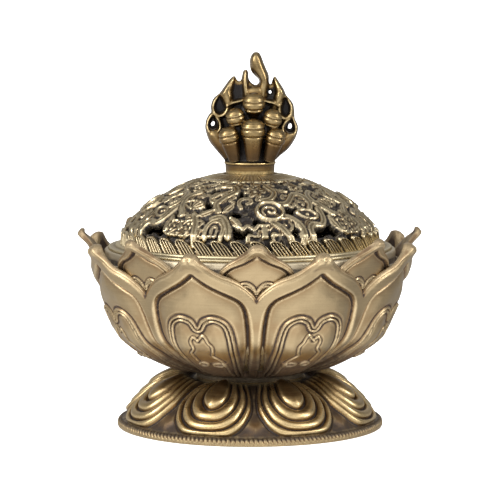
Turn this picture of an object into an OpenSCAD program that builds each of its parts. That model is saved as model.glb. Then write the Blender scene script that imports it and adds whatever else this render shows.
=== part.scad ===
// Lotus incense burner: a cast lotus bowl screwed to a cast pedestal, with a loose pierced
// lid that carries a flaming-jewel finial, and a loose dish inside that holds the incense.
// Millimetres, +Z up, origin on the table under the middle of the foot.

/* [Bowl] */
// Radius at the tips of the large petals
petal_tip_r = 40; // [36:0.5:46]
// Height of the tips of the large petals above the table
petal_tip_z = 43.6; // [42.5:0.1:45]
// How much higher the small petals' tips stand
small_petal_rise = 2.7; // [1:0.1:4]
// Large petals round the bowl, and as many small ones behind them
petal_count = 8; // [6:1:10]
// Thickness of a petal's free edge
petal_edge = 1.4; // [1:0.1:2]

/* [Foot] */
// Radius of the foot's rim
foot_r = 31.3; // [29:0.1:34]
// Height of the foot up to the seat of the bowl
foot_h = 11.8; // [11.2:0.1:12.2]
// Height of the rim that stands on the table
foot_rim_h = 2; // [1.6:0.1:2.4]
// How far the lobes of the foot stand proud
lobe_height = 1.5; // [0.5:0.1:2]

/* [Lid] */
// Radius of the sphere that the lid's dome is part of
dome_r = 40; // [38:0.5:44]
// Thickness of the dome
dome_wall = 1.8; // [1.4:0.1:2.2]
// Radial play between the lid's spigot and the bowl's seat
lid_play = 0.4; // [0.2:0.05:0.6]

/* [Finial] */
// Size of the finial against its usual 25.5 mm height
finial_scale = 1; // [0.9:0.02:1.1]
// Radius of the collar under the finial
collar_r = 6.1; // [5.5:0.1:7]
// Thickness of the flame on each side of the jewels
flame_t = 4.6; // [3:0.1:6]

/* [Incense dish] */
// Radius of the dish
dish_r = 12.5; // [11:0.5:14]
// Radius of the hole that takes an incense stick
stick_hole_r = 1.1; // [0.9:0.05:1.4]
// Height of the prongs above the dish's floor
prong_h = 6; // [4:0.5:8]

/* [Hidden] */
$fn = 64;

brass = [0.72, 0.60, 0.38];
dark_brass = [0.50, 0.40, 0.25];
steel = [0.70, 0.70, 0.72];

eps = 0.02;
pitch_angle = 360 / petal_count; // from one large petal to the next
half_pitch = pitch_angle / 2;

// Columns and rows of the two shells that aren't round
columns = 12 * petal_count;
bowl_rows = 13;

// Bowl
bowl_base_z = foot_h;
bowl_neck_r = 12.6; // short neck under the petals, which stands on the foot
belly_z = 13; // where the petals start
floor_z = 15;
rim_top_z = 42;
rim_r = 34.2;
seat_r = 32;
seat_z = 37.5;
crevice_z = 39.4; // bottom of the gap between the petals and the rim
crevice_r = 34.5;
petal_notch_drop = 10.3; // from a large petal's tip to where two of them meet
seam_depth = 1.3;
small_tip_curl = 2.2; // how far the small petals' tips bend outward
lean = 0.345; // how much the petals lean out, per millimetre of height
belly = 15.8; // how far the bottom draws in
belly_rise = 4; // how quickly it does
belly_power = 1.25;

// Foot
neck_r = 14;
foot_wall = 2.2;
shoulder_r = foot_r - 1.7;
lobe_start = 15;
boss_r = 6;
boss_z = 7.8;

// Fasteners
screw_r = 2;
screw_clear_r = 2.15;
screw_head_r = 3.8;
screw_head_h = 2.4;
washer_r = 4.5;
washer_t = 0.8;
screw_slot = [0.9, 0.9];

// Lid
lid_z = rim_top_z; // where the lid sits on the bowl's rim
band_r = 33.3;
band_t = 0.6; // thickness of the flange that rests on the bowl's rim
step_r = 31.6; // smaller step on top of the flange
step_z = 43.2;
drum_r = 29.7; // where the dome's wall stands on the step
drum_z = 47.3; // where the wall passes into the sphere
dome_top_z = 60.2;
dome_centre_z = dome_top_z - dome_r;
crown_r = 10.5;
crown_z = 59.1;
crown_t = 2.4;
spigot_r = seat_r - lid_play;
spigot_wall = 1.6;
spigot_drop = 3.2;

// Finial
collar_z = crown_z;
collar_h = 3.2;
finial_z = collar_z + collar_h;
finial_bore_depth = 5;

// Dish
dish_z = 16.2; // underside of the dish, on its feet
dish_t = 1.6;
dish_lip_h = 3.2;
boss_h = 3.4;
prong_r = 0.9;
prong_circle_r = 6;
prong_point_h = 1.6;
feet_circle_r = 8.5;
feet_pin_r = 0.8;

// ---------------------------------------------------------------- shared forms

// 3-D points of a form that is given as one section, a list of [r, z], for each column.
function around(sections) = [
    for (i = [0:len(sections) - 1], p = sections[i])
        [p[0] * cos(360 * i / len(sections)), p[0] * sin(360 * i / len(sections)), p[1]]
];

// Side faces between neighbouring columns. A ring closes its section on itself.
function side_faces(cols, rows, ring) = [
    for (i = [0:cols - 1], j = [0:rows - (ring ? 1 : 2)])
        let (next = (i + 1) % cols, up = (j + 1) % rows)
            each [
                [i * rows + j, i * rows + up, next * rows + up],
                [i * rows + j, next * rows + up, next * rows + j],
            ]
];

// A closed form with its first and last rows fanned to points on the axis.
module capped_form(sections, z_first, z_last) {
    cols = len(sections);
    rows = len(sections[0]);
    first = cols * rows;
    last = first + 1;
    polyhedron(
        points = concat(around(sections), [[0, 0, z_first], [0, 0, z_last]]),
        faces = concat(
            side_faces(cols, rows, false),
            [for (i = [0:cols - 1]) [first, i * rows, ((i + 1) % cols) * rows]],
            [for (i = [0:cols - 1]) [last, ((i + 1) % cols) * rows + rows - 1, i * rows + rows - 1]]
        )
    );
}

// A form whose section is a closed loop, such as a shell with a hole on its axis.
module ring_form(sections) {
    polyhedron(
        points = around(sections),
        faces = side_faces(len(sections), len(sections[0]), true)
    );
}

// Share of the way from a large petal's middle, 0, to the seam, 1, at an angle.
function across(angle) = abs((angle % pitch_angle) - half_pitch) / half_pitch;

// ---------------------------------------------------------------- bowl

// Height of the large petals' edge, at a share of the way to the seam.
function large_edge_z(a) =
    petal_tip_z - petal_notch_drop * a + 0.9 * sin(180 * pow(a, 1.6));

// Height of the second layer's edge: the small petals, or the low crest between them.
function small_edge_z(a) =
    let (side = (1 - a) * half_pitch * PI / 180 * (petal_tip_r - 2))
        max(
            petal_tip_z + small_petal_rise - 0.5 * side - 3 * pow(side / 8.6, 8),
            crevice_z + 0.9
        );

// Radius of the bowl's outside over a large petal's middle, at a height.
function bowl_r(z) =
    let (h = max(0, z - belly_z))
        petal_tip_r - lean * (petal_tip_z - z) - belly * exp(-pow(h / belly_rise, belly_power));

// Radius of the bowl's inside, at a height.
function inside_r(z) = 27.6 + 0.2 * (z - floor_z) - 15.1 * exp(-(z - floor_z) / 4);

// The bowl's section at one angle, from the bottom up its outside and down its inside.
function bowl_section(a) =
    let (
        top = large_edge_z(a),
        second = small_edge_z(a),
        start = top - 0.6,
        seam = seam_depth * pow(a, 3),
        back = petal_edge + 0.2,
        curl = small_tip_curl * max(0, (second - petal_tip_z) / small_petal_rise)
    )
    concat(
        [[bowl_neck_r, bowl_base_z], [bowl_neck_r, belly_z]],
        [
            for (k = [0:bowl_rows])
                let (z = belly_z + (top - belly_z) * pow(k / bowl_rows, 1.6))
                    [bowl_r(z) - seam * min(1, k / 3), z]
        ],
        [[bowl_r(top) - seam - petal_edge, top]],
        [
            for (k = [0:3])
                let (z = start + (second - start) * k / 3)
                    [bowl_r(z) - seam_depth * a - back + curl * pow(k / 3, 2), z]
        ],
        [[bowl_r(second) - seam_depth * a - back + curl - petal_edge, second]],
        [[crevice_r + 0.3, crevice_z]],
        [[rim_r, crevice_z]],
        [[rim_r, rim_top_z], [seat_r, rim_top_z], [seat_r, seat_z]],
        [[inside_r(seat_z - 0.5), seat_z - 0.5]],
        [
            for (k = [1:9])
                let (z = floor_z + (seat_z - 0.5 - floor_z) * pow(1 - k / 9, 1.7))
                    [inside_r(z), z]
        ]
    );

module bowl() {
    color(brass)
    difference() {
        capped_form(
            [for (i = [0:columns - 1]) bowl_section(across(360 * i / columns))],
            bowl_base_z,
            floor_z
        );
        // Blind hole for the foot's screw
        translate([0, 0, bowl_base_z - 1]) cylinder(r = screw_r + 0.05, h = 1 + 2.4);
    }
}

// ---------------------------------------------------------------- foot

// Height of the foot's outside between the lobes, at a radius.
function foot_z(r) =
    let (rise = foot_h - 0.6 - foot_rim_h - 0.2)
        foot_rim_h + 0.2 + rise * (1 - pow((r - neck_r) / (shoulder_r - neck_r), 2.3));

// How far a lobe stands proud, at a radius and a share of the way to the seam.
function lobe(r, a) =
    let (
        along = max(0, min(1, (r - lobe_start) / (shoulder_r - lobe_start))),
        width = 0.55 + 0.3 * along,
        over = max(0, 1 - pow(a / width, 2)),
        ends = min(1, along / 0.15) * min(1, (1 - along) / 0.12)
    )
        lobe_height * sqrt(over) * ends;

// The foot's section at one angle: up the hole, over the outside, round the rim and back inside.
function foot_section(a) = concat(
    [[1, boss_z], [1, foot_h], [neck_r - 0.6, foot_h], [neck_r - 0.6, foot_h - 0.6]],
    [
        for (k = [0:14])
            let (
                r = neck_r + (shoulder_r - neck_r) * pow(k / 14, 0.8),
                slope = (foot_z(r + 0.1) - foot_z(r)) / 0.1,
                h = lobe(r, a),
                n = sqrt(1 + slope * slope)
            )
                [r - h * slope / n * (k < 14 ? 1 : 0), foot_z(r) + h / n]
    ],
    [
        [foot_r - 0.5, foot_rim_h],
        [foot_r, foot_rim_h - 0.6],
        [foot_r, 0.4],
        [foot_r - 0.4, 0],
        [foot_r - 3, 0],
    ],
    [
        for (k = [0:8])
            let (r = foot_r - 3.2 - (foot_r - 3.2 - 9) * k / 8)
                [r, min(foot_z(max(neck_r, r)) - foot_wall, foot_h - 0.6 - foot_wall)]
    ],
    [[boss_r, foot_h - 0.6 - foot_wall], [boss_r, boss_z]]
);

module foot() {
    color(brass)
    difference() {
        ring_form([for (i = [0:columns - 1]) foot_section(across(360 * i / columns))]);
        // Clearance hole for the screw
        cylinder(r = screw_clear_r, h = 2 * foot_h);
    }
}

// ---------------------------------------------------------------- fasteners

// A slotted pan-head screw with its head down, its seat at z = 0.
module pan_screw(length) {
    difference() {
        union() {
            cylinder(r = screw_r, h = length);
            translate([0, 0, -screw_head_h])
                rotate_extrude()
                    polygon([
                        [0, 0], [screw_head_r - 0.8, 0], [screw_head_r - 0.2, 0.4],
                        [screw_head_r, 1.1], [screw_head_r, screw_head_h], [0, screw_head_h],
                    ]);
        }
        translate([0, 0, -screw_head_h])
            cube([3 * screw_head_r, screw_slot[0], 2 * screw_slot[1]], center = true);
    }
}

module washer() {
    difference() {
        cylinder(r = washer_r, h = washer_t);
        translate([0, 0, -1]) cylinder(r = screw_clear_r, h = washer_t + 2);
    }
}

module foot_washer() {
    color(steel) translate([0, 0, boss_z - washer_t]) washer();
}

module foot_screw() {
    color(steel) translate([0, 0, boss_z - washer_t]) pan_screw(bowl_base_z + 2 - boss_z + washer_t);
}

module finial_washer() {
    color(steel) translate([0, 0, crown_z - crown_t - washer_t]) washer();
}

module finial_screw() {
    color(steel)
        translate([0, 0, crown_z - crown_t - washer_t])
            pan_screw(crown_t + washer_t + collar_h + finial_bore_depth - 0.5);
}

// ---------------------------------------------------------------- incense dish

module incense_dish() {
    color(brass)
    translate([0, 0, dish_z])
    difference() {
        rotate_extrude()
            polygon([
                [0, 0], [dish_r - 2, 0], [dish_r, dish_lip_h / 2], [dish_r, dish_lip_h],
                [dish_r - 1, dish_lip_h], [dish_r - 1, dish_lip_h - 1], [dish_r - 2.4, dish_t],
                [3.4, dish_t], [2.8, dish_t + boss_h], [0, dish_t + boss_h],
            ]);
        // Hole for the stick, right through
        translate([0, 0, -1]) cylinder(r = stick_hole_r, h = dish_t + boss_h + 2);
        // Holes for the feet and the prongs
        for (k = [0:2]) {
            rotate([0, 0, 120 * k + 60])
                translate([feet_circle_r, 0, -1])
                    cylinder(r = feet_pin_r, h = 1.9);
            rotate([0, 0, 120 * k]) translate([prong_circle_r, 0, 0.7]) cylinder(r = prong_r, h = 4);
        }
    }
}

// Three domed feet that keep the hot dish off the bowl's floor
module dish_feet() {
    color(dark_brass)
    for (k = [0:2])
        rotate([0, 0, 120 * k + 60]) translate([feet_circle_r, 0, 0]) {
            translate([0, 0, floor_z + eps])
                cylinder(r1 = 1.2, r2 = 2 * feet_pin_r, h = dish_z - floor_z - eps);
            translate([0, 0, dish_z - 0.1]) cylinder(r = feet_pin_r - eps, h = 0.95);
        }
}

// Three pointed prongs that carry a cone or a coil of incense
module incense_prongs() {
    color(dark_brass)
    for (k = [0:2])
        rotate([0, 0, 120 * k]) translate([prong_circle_r, 0, dish_z + 0.75]) {
            cylinder(r = prong_r - eps, h = prong_h);
            translate([0, 0, prong_h]) cylinder(r1 = prong_r - eps, r2 = 0.3, h = prong_point_h);
        }
}

// ---------------------------------------------------------------- lid

// Height of a sphere about the dome's centre, at a radius.
function sphere_z(sphere_r, r) = dome_centre_z + sqrt(sphere_r * sphere_r - r * r);

// The dome, its stepped flange and its crown plate, as one turned section.
module dome_blank() {
    inner_r = dome_r - dome_wall;
    turn_r = sqrt(dome_r * dome_r - pow(drum_z - dome_centre_z, 2));
    turn_z = drum_z - dome_wall / 2;
    inner_turn_r = sqrt(inner_r * inner_r - pow(turn_z - dome_centre_z, 2));
    steps = 24;
    rotate_extrude($fn = 128)
        polygon(concat(
            [[0, crown_z], [crown_r, crown_z], [crown_r, sphere_z(dome_r, crown_r) - 0.3]],
            [
                for (k = [0:steps])
                    let (r = crown_r + 0.2 + (turn_r - crown_r - 0.2) * k / steps)
                        [r, sphere_z(dome_r, r)]
            ],
            [[drum_r, step_z], [step_r, step_z], [step_r, lid_z + band_t]],
            [[band_r, lid_z + band_t], [band_r, lid_z + eps], [drum_r - dome_wall, lid_z + eps]],
            [
                for (k = [0:steps])
                    let (r = inner_turn_r - (inner_turn_r - 7.5) * k / steps)
                        [r, sphere_z(inner_r, r)]
            ],
            [[6.5, crown_z - crown_t], [0, crown_z - crown_t]]
        ));
}

// Windows of one sector: angle from its start in pitches, radius from the axis, width, height, lean.
windows = [
    [0.5, 27, 5.4, 3.4, 0], [0.145, 25, 3, 4.6, 25], [-0.145, 25, 3, 4.6, -25],
    [0.5, 20.6, 3.2, 5, 0], [0.155, 18, 2.6, 4, -20], [0.5, 14.2, 2.6, 3.4, 0],
];

// A rounded window with a point at its top, drawn about the origin.
module window_outline(w, h) {
    polygon([for (t = [0:20:340]) [w / 2 * sin(t) * (1 - 0.35 * cos(t)), h / 2 * cos(t)]]);
}

// Cuts a window through the dome at an angle round it and a radius from its axis.
module window_cut(angle, r, w, h, lean_angle) {
    rotate([0, 0, angle])
        translate([r, 0, sphere_z(dome_r, r)])
            rotate([0, asin(r / dome_r), 0])
                rotate([0, 0, lean_angle - 90])
                    translate([0, 0, -4])
                        linear_extrude(6) window_outline(w, h);
}

module lid() {
    color(brass)
    difference() {
        dome_blank();
        for (k = [0:petal_count - 1], v = windows)
            window_cut(pitch_angle * (k + v[0]), v[1], v[2], v[3], v[4]);
        translate([0, 0, crown_z - 5]) cylinder(r = screw_clear_r, h = 10);
    }
}

// Ring under the lid that drops into the bowl's seat
module lid_spigot() {
    color(brass)
    translate([0, 0, lid_z - spigot_drop])
    difference() {
        cylinder(r = spigot_r, h = spigot_drop + eps);
        translate([0, 0, -1]) cylinder(r = spigot_r - spigot_wall, h = spigot_drop + 2);
    }
}

// ---------------------------------------------------------------- finial

module finial_collar() {
    color(brass)
    translate([0, 0, collar_z])
    difference() {
        rotate_extrude()
            polygon([
                [0, 0], [collar_r - 0.4, 0], [collar_r - 0.2, 0.3], [collar_r, collar_h - 0.6],
                [collar_r + 0.2, collar_h - 0.4], [collar_r + 0.2, collar_h], [0, collar_h],
            ]);
        translate([0, 0, -1]) cylinder(r = screw_clear_r, h = collar_h + 2);
    }
}

// Half of the flame's outline, from its foot up one side. Heights are above the finial's seat.
flame_side = [
    [5.6, 0.2], [8.4, 3.2], [10.6, 6], [11.2, 8.4], [10.6, 10.4], [10.9, 12.2], [9.6, 15],
    [8.2, 17.2], [6.9, 18.7], [5.9, 18.2], [5.1, 16.4], [4.2, 15.2],
];

// Outline of the middle tongue, which leans to one side
flame_tip = [
    [2.8, 14.6], [3.8, 17], [4.4, 19.2], [3.6, 21.4], [3, 24], [2.2, 25.4], [1, 25.5], [0.1, 24.4],
    [-0.2, 21.6], [0.6, 19.4], [1.1, 18], [0.2, 17.2], [-1, 18.2], [-1.1, 20.2], [-2, 20.9],
    [-3, 19.8], [-3.2, 17.8], [-3, 14.6],
];

module teardrop(r, h) {
    polygon([for (t = [0:20:340]) [r * sin(t) * (1 - 0.5 * cos(t)), h / 2 * cos(t)]]);
}

// The flame: a flat blade on each side with two teardrop holes, and the tongue above.
module flame() {
    rotate([90, 0, 0])
    translate([0, 0, -flame_t / 2])
    linear_extrude(flame_t)
    difference() {
        union() {
            for (side = [0, 1])
                mirror([side, 0]) polygon(concat(flame_side, [[-0.1, 15.2], [-0.1, 0.2]]));
            polygon(flame_tip);
        }
        for (s = [-1, 1]) {
            translate([s * 7.6, 13.8]) rotate(s * 6) teardrop(1.25, 4.2);
            translate([s * 9, 9]) rotate(s * 8) teardrop(1.15, 3.4);
        }
    }
}

// Round core between the jewels, from the collar up to the tongue
module finial_core() {
    rotate_extrude()
        polygon([
            [0, 0], [collar_r, 0], [7, 2.6], [7.2, 6.6], [6, 9.6], [4.8, 12.6], [3.4, 15.6], [1.6, 17.4],
            [0, 17.8],
        ]);
}

// One jewel, a bead with a girdle round it
module bead(r) {
    sphere(r = r);
    cylinder(r = r + 0.25, h = 0.7, center = true);
}

// A tall jewel that tapers to its foot
module bell(r, h) {
    translate([0, 0, h]) sphere(r = r);
    translate([0, 0, h - 0.7]) cylinder(r = r + 0.25, h = 0.8);
    cylinder(r1 = 0.62 * r, r2 = 0.96 * r, h = h);
}

// The jewels on one face of the core: three tall ones, two beads above them and one on top
module jewels() {
    translate([0, -5.4, 1]) rotate([8, 0, 0]) bell(2.7, 6);
    translate([0, -3.2, 14]) rotate([20, 0, 0]) bead(2.6);
    for (s = [-1, 1]) {
        rotate([0, 0, s * 42]) translate([0, -5.4, 1.2]) rotate([12, 0, 0]) bell(2.1, 5);
        rotate([0, 0, s * 40]) translate([0, -4.6, 11]) rotate([25, 0, 0]) bead(2.35);
    }
}

module finial() {
    color(brass)
    translate([0, 0, finial_z])
    difference() {
        scale(finial_scale) {
            finial_core();
            flame();
            for (face = [0, 180]) rotate([0, 0, face]) jewels();
        }
        translate([0, 0, -1]) cylinder(r = screw_r + 0.05, h = 1 + finial_bore_depth);
    }
}

foot();
foot_washer();
foot_screw();
bowl();
incense_dish();
dish_feet();
incense_prongs();
lid();
lid_spigot();
finial_collar();
finial_washer();
finial_screw();
finial();
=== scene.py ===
"""The looks of a lotus incense burner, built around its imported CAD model.

Lengths here are in millimetres and angles in degrees, until a mesh or a light is made. The
castings are made as shells round the axis: a section is worked out for each angle, with the
relief as a height above the plain turned surface.
"""

import math
import random

import bpy
import numpy as np
from mathutils import Matrix, Vector


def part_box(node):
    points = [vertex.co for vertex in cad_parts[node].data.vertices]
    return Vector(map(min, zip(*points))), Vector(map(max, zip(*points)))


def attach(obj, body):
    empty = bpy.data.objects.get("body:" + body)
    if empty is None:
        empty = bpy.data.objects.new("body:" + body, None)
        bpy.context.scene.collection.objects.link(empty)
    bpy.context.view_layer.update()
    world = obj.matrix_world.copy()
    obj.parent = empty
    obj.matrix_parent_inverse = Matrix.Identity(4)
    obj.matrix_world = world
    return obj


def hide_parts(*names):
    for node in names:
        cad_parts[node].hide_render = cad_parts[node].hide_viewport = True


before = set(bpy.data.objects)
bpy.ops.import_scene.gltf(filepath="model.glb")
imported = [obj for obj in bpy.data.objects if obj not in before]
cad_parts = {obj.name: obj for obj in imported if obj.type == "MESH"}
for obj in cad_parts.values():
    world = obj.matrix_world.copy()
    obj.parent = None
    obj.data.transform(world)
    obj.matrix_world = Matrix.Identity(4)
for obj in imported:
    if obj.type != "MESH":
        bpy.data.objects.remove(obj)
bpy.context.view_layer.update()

MM = 0.001
TURN = 2 * math.pi


def box_mm(node):
    """The lowest and the highest corner of a CAD node, in millimetres."""
    low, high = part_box(node)
    return low / MM, high / MM


bowl_low, bowl_high = box_mm("bowl")
foot_high = box_mm("foot")[1]
lid_low, lid_high = box_mm("lid")
finial_low, finial_high = box_mm("finial")

# ---- driving dimensions

PETALS = 8
PITCH = 360 / PETALS
HALF_PITCH = PITCH / 2

PETAL_TIP_R = 40.0
SMALL_PETAL_RISE = 2.7
BOWL_Z = bowl_low.z
SMALL_TIP_Z = bowl_high.z
PETAL_TIP_Z = SMALL_TIP_Z - SMALL_PETAL_RISE
FOOT_R = foot_high.x
LID_Z = lid_low.z
CROWN_Z = lid_high.z
FINIAL_Z = finial_low.z
FINIAL_TOP = finial_high.z

# Camera: how far off and how high it stands, its turn round the burner and its tilt, and its lens
CAMERA_DISTANCE = 626.8
CAMERA_HEIGHT = 108.3
CAMERA_TURN = -2.4
CAMERA_PITCH = -6.093
CAMERA_LENS = 193.0
FLOOR_COLOUR = (0.9, 0.9, 0.9)
FLOOR_GLOW = 0.75
# The room's light: how bright it is all round, and brighter parts of it as a direction, the angles at
# which they are full and gone, and how much they add
ROOM_LIGHT = 0.2
ROOM_GLOWS = [
    ((0, -0.72, -0.69), 18, 72, 1.35),
    ((0, 0, -1), 30, 100, 0.28),
    ((-0.5, -0.62, 0.6), 12, 42, 2.1),
    ((0.5, -0.6, 0.62), 10, 38, 1.4),
    ((0, 0.6, 0.8), 10, 60, 0.45),
    ((-0.8, 0.45, -0.4), 15, 60, 0.5),
    ((0.8, 0.45, -0.4), 15, 60, 0.2),
    ((-0.9, -0.3, 0.2), 6, 26, 1.3),
    ((0.9, -0.3, 0.2), 6, 26, 0.9),
]

# Soft boxes: name, place and size in metres, and watts
SOFT_BOXES = [("left", (-0.75, -0.45, 0.5), (0.12, 0.6), 5), ("right", (0.8, -0.4, 0.45), (0.12, 0.6), 4)]
LIGHT_AIM = (0, 0, 0.045)

# ---- curves and fields


def ease(x, low, high):
    """0 below low, 1 above high and a smooth rise between them."""
    t = np.clip((x - low) / (high - low), 0, 1)
    return t * t * (3 - 2 * t)


def ridge(distance, half_width):
    """A rounded line: 1 on it, and 0 from half_width on."""
    return np.clip(1 - (distance / half_width) ** 2, 0, 1)


def bell(x, middle, width):
    """1 at the middle, and falling off smoothly on both sides."""
    return np.exp(-(((x - middle) / width) ** 2))


def halo(depth, within, beyond):
    """1 on a line, fading within so many millimetres on the side of positive depth and beyond it."""
    return np.exp(-np.abs(depth) / np.where(depth > 0, within, beyond))


def spline(points, steps=6, closed=False):
    """A smooth path through the points, with so many steps between two of them."""
    p = np.array(points, float)
    if closed:
        p = np.vstack([p[-1], p, p[:2]])
    else:
        p = np.vstack([2 * p[0] - p[1], p, 2 * p[-1] - p[-2]])
    t = np.linspace(0, 1, steps, endpoint=False)[:, None]
    path = []
    for a, b, c, d in zip(p[:-3], p[1:-2], p[2:-1], p[3:]):
        bend, twist = 2 * a - 5 * b + 4 * c - d, 3 * b - a - 3 * c + d
        path.append(b + t * (c - a) / 2 + t**2 * bend / 2 + t**3 * twist / 2)
    return np.vstack(path + [p[-2][None]])


def soften(field, passes, wrap=False):
    """A field with its creases smoothed out."""
    for _ in range(passes):
        ends = (field[-1:], field[:1]) if wrap else (field[:1], field[-1:])
        wide = np.vstack([ends[0], field, ends[1]])
        field = (wide[:-2] + 2 * field + wide[2:]) / 4
        wide = np.hstack([field[:, :1], field, field[:, -1:]])
        field = (wide[:, :-2] + 2 * field + wide[:, 2:]) / 4
    return field


def mirrored(points):
    """Points given from the middle line outwards, completed by their mirror image on the other side."""
    right = [tuple(p) for p in points]
    left = [(-x, y) for x, y in reversed(right) if x > 1e-9]
    return left + right


def distance_to(x, y, path):
    """Distance of each point of a field from a path."""
    nearest = np.full(x.shape, 1e9)
    for (ax, ay), (bx, by) in zip(path[:-1], path[1:]):
        dx, dy = bx - ax, by - ay
        t = np.clip(((x - ax) * dx + (y - ay) * dy) / (dx * dx + dy * dy + 1e-12), 0, 1)
        nearest = np.minimum(nearest, (x - ax - t * dx) ** 2 + (y - ay - t * dy) ** 2)
    return np.sqrt(nearest)


def inside(x, y, path):
    """True for the points of a field inside a path, which is closed by a straight line."""
    crossings = np.zeros(x.shape, int)
    for (ax, ay), (bx, by) in zip(path, np.roll(path, -1, axis=0)):
        if ay != by:
            crossings += ((ay > y) != (by > y)) & (x < ax + (y - ay) * (bx - ax) / (by - ay))
    return crossings % 2 == 1


def depth_in(x, y, path):
    """Distance from a closed path, positive inside it."""
    away = distance_to(x, y, np.vstack([path, path[:1]]))
    return np.where(inside(x, y, path), away, -away)


class Profile:
    """A turned surface's section, followed by its arc length s from its first point.

    side is 1 if the outside lies to the right of the way along it, and -1 if to the left.
    """

    def __init__(self, points, side=1):
        self.points = np.array(points, float)
        step = np.hypot(*np.diff(self.points, axis=0).T)
        self.s = np.concatenate([[0], np.cumsum(step)])
        tangent = np.gradient(self.points, self.s, axis=0)
        tangent /= np.hypot(*tangent.T)[:, None]
        self.normal_r, self.normal_z = side * tangent[:, 1], -side * tangent[:, 0]

    def r(self, s):
        return np.interp(s, self.s, self.points[:, 0])

    def z(self, s):
        return np.interp(s, self.s, self.points[:, 1])

    def s_at_z(self, z):
        """Arc length at a height, on a profile that climbs."""
        return np.interp(z, self.points[:, 1], self.s)

    def s_at_r(self, r):
        """Arc length at a radius, on a profile that widens."""
        return np.interp(r, self.points[:, 0], self.s)

    def raised(self, s, height):
        """Radius and height of the points that stand so high above the surface at s."""
        nr = np.interp(s, self.s, self.normal_r)
        nz = np.interp(s, self.s, self.normal_z)
        return self.r(s) + height * nr, self.z(s) + height * nz


# ---- meshes


NEAR_PASSES = 6  # how often the shape is smoothed to find its recesses over the near range
FAR_PASSES = 40  # and over the far range
CLEAN = -9.0  # a least depth that adds no darkening


def make_mesh(name, points, faces):
    """An object from points in millimetres and an array of faces with the same number of corners."""
    faces = np.asarray(faces)
    mesh = bpy.data.meshes.new(name)
    mesh.vertices.add(len(points))
    mesh.vertices.foreach_set("co", (np.asarray(points, np.float32) * MM).ravel())
    corners = faces.shape[1]
    mesh.loops.add(faces.size)
    mesh.loops.foreach_set("vertex_index", faces.astype(np.int32).ravel())
    mesh.polygons.add(len(faces))
    mesh.polygons.foreach_set("loop_start", np.arange(0, faces.size, corners, dtype=np.int32))
    mesh.update(calc_edges=True)
    mesh.validate()
    mesh.shade_smooth()
    piece = bpy.data.objects.new(name, mesh)
    bpy.context.scene.collection.objects.link(piece)
    return piece


def ring_points(angles, r, z):
    """Points of sections r, z (one row for each angle) set round the axis."""
    a = np.radians(angles)[:, None]
    return np.stack([r * np.cos(a), r * np.sin(a), z], axis=-1)


def ring_faces(columns, rows):
    """Faces of a form whose sections are closed loops and which closes round the axis."""
    i, j = np.meshgrid(np.arange(columns), np.arange(rows), indexing="ij")
    ni, nj = (i + 1) % columns, (j + 1) % rows
    return np.stack([i * rows + j, ni * rows + j, ni * rows + nj, i * rows + nj], axis=-1).reshape(-1, 4)


def ring(name, angles, r, z):
    """A closed shell from one closed section for each angle. Sections run up the outside first."""
    points = ring_points(angles, r, z)
    return make_mesh(name, points.reshape(-1, 3), ring_faces(*points.shape[:2]))


def turned_grid(section, segments):
    """Angles, and the same section for each of them."""
    section = np.array(section, float)
    angles = np.arange(segments) * 360 / segments
    return angles, np.tile(section[:, 0], (segments, 1)), np.tile(section[:, 1], (segments, 1))


def lathe(name, section, segments):
    """A turned ring from one closed section."""
    return ring(name, *turned_grid(section, segments))


def read(items, name, width=1, kind=np.float32):
    """One value of all of a mesh's points, edges or corners, a row for each."""
    values = np.zeros(len(items) * width, kind)
    items.foreach_get(name, values)
    return values.reshape(-1, width) if width > 1 else values


def points_mm(piece):
    return read(piece.data.vertices, "co", 3).astype(float) / MM


def neighbours(mesh):
    """Every point's neighbours in one long row, where each point's own start in it, and how many it has."""
    edges = read(mesh.edges, "vertices", 2, np.int32)
    source = np.concatenate([edges[:, 0], edges[:, 1]])
    target = np.concatenate([edges[:, 1], edges[:, 0]])
    count = np.bincount(source, minlength=len(mesh.vertices))
    starts = np.concatenate([[0], np.cumsum(count)[:-1]])
    return target[np.argsort(source, kind="stable")], starts, count[:, None]


def mark_recesses(piece, far_passes, dirt_and_shade):
    """Stores how deep each point lies below its surroundings, in millimetres: over a near and a far range.

    grime, one value for each point, is the least depth over the far range. It holds stains and
    patina, and on some pieces painted shade where they lie in shadow.
    """
    mesh = piece.data
    target, starts, count = neighbours(mesh)
    points = read(mesh.vertices, "co", 3).astype(float)
    normals = read(mesh.vertices, "normal", 3)
    smooth = points
    for name, passes, least in (("near", NEAR_PASSES, CLEAN), ("far", far_passes, dirt_and_shade)):
        for _ in range(passes):
            smooth = np.add.reduceat(smooth[target], starts, axis=0) / count
        depth = np.maximum(((smooth - points) * normals).sum(axis=1) / MM, least)
        attribute = mesh.attributes.new(name, "FLOAT", "POINT")
        attribute.data.foreach_set("value", depth.astype(np.float32))


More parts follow.
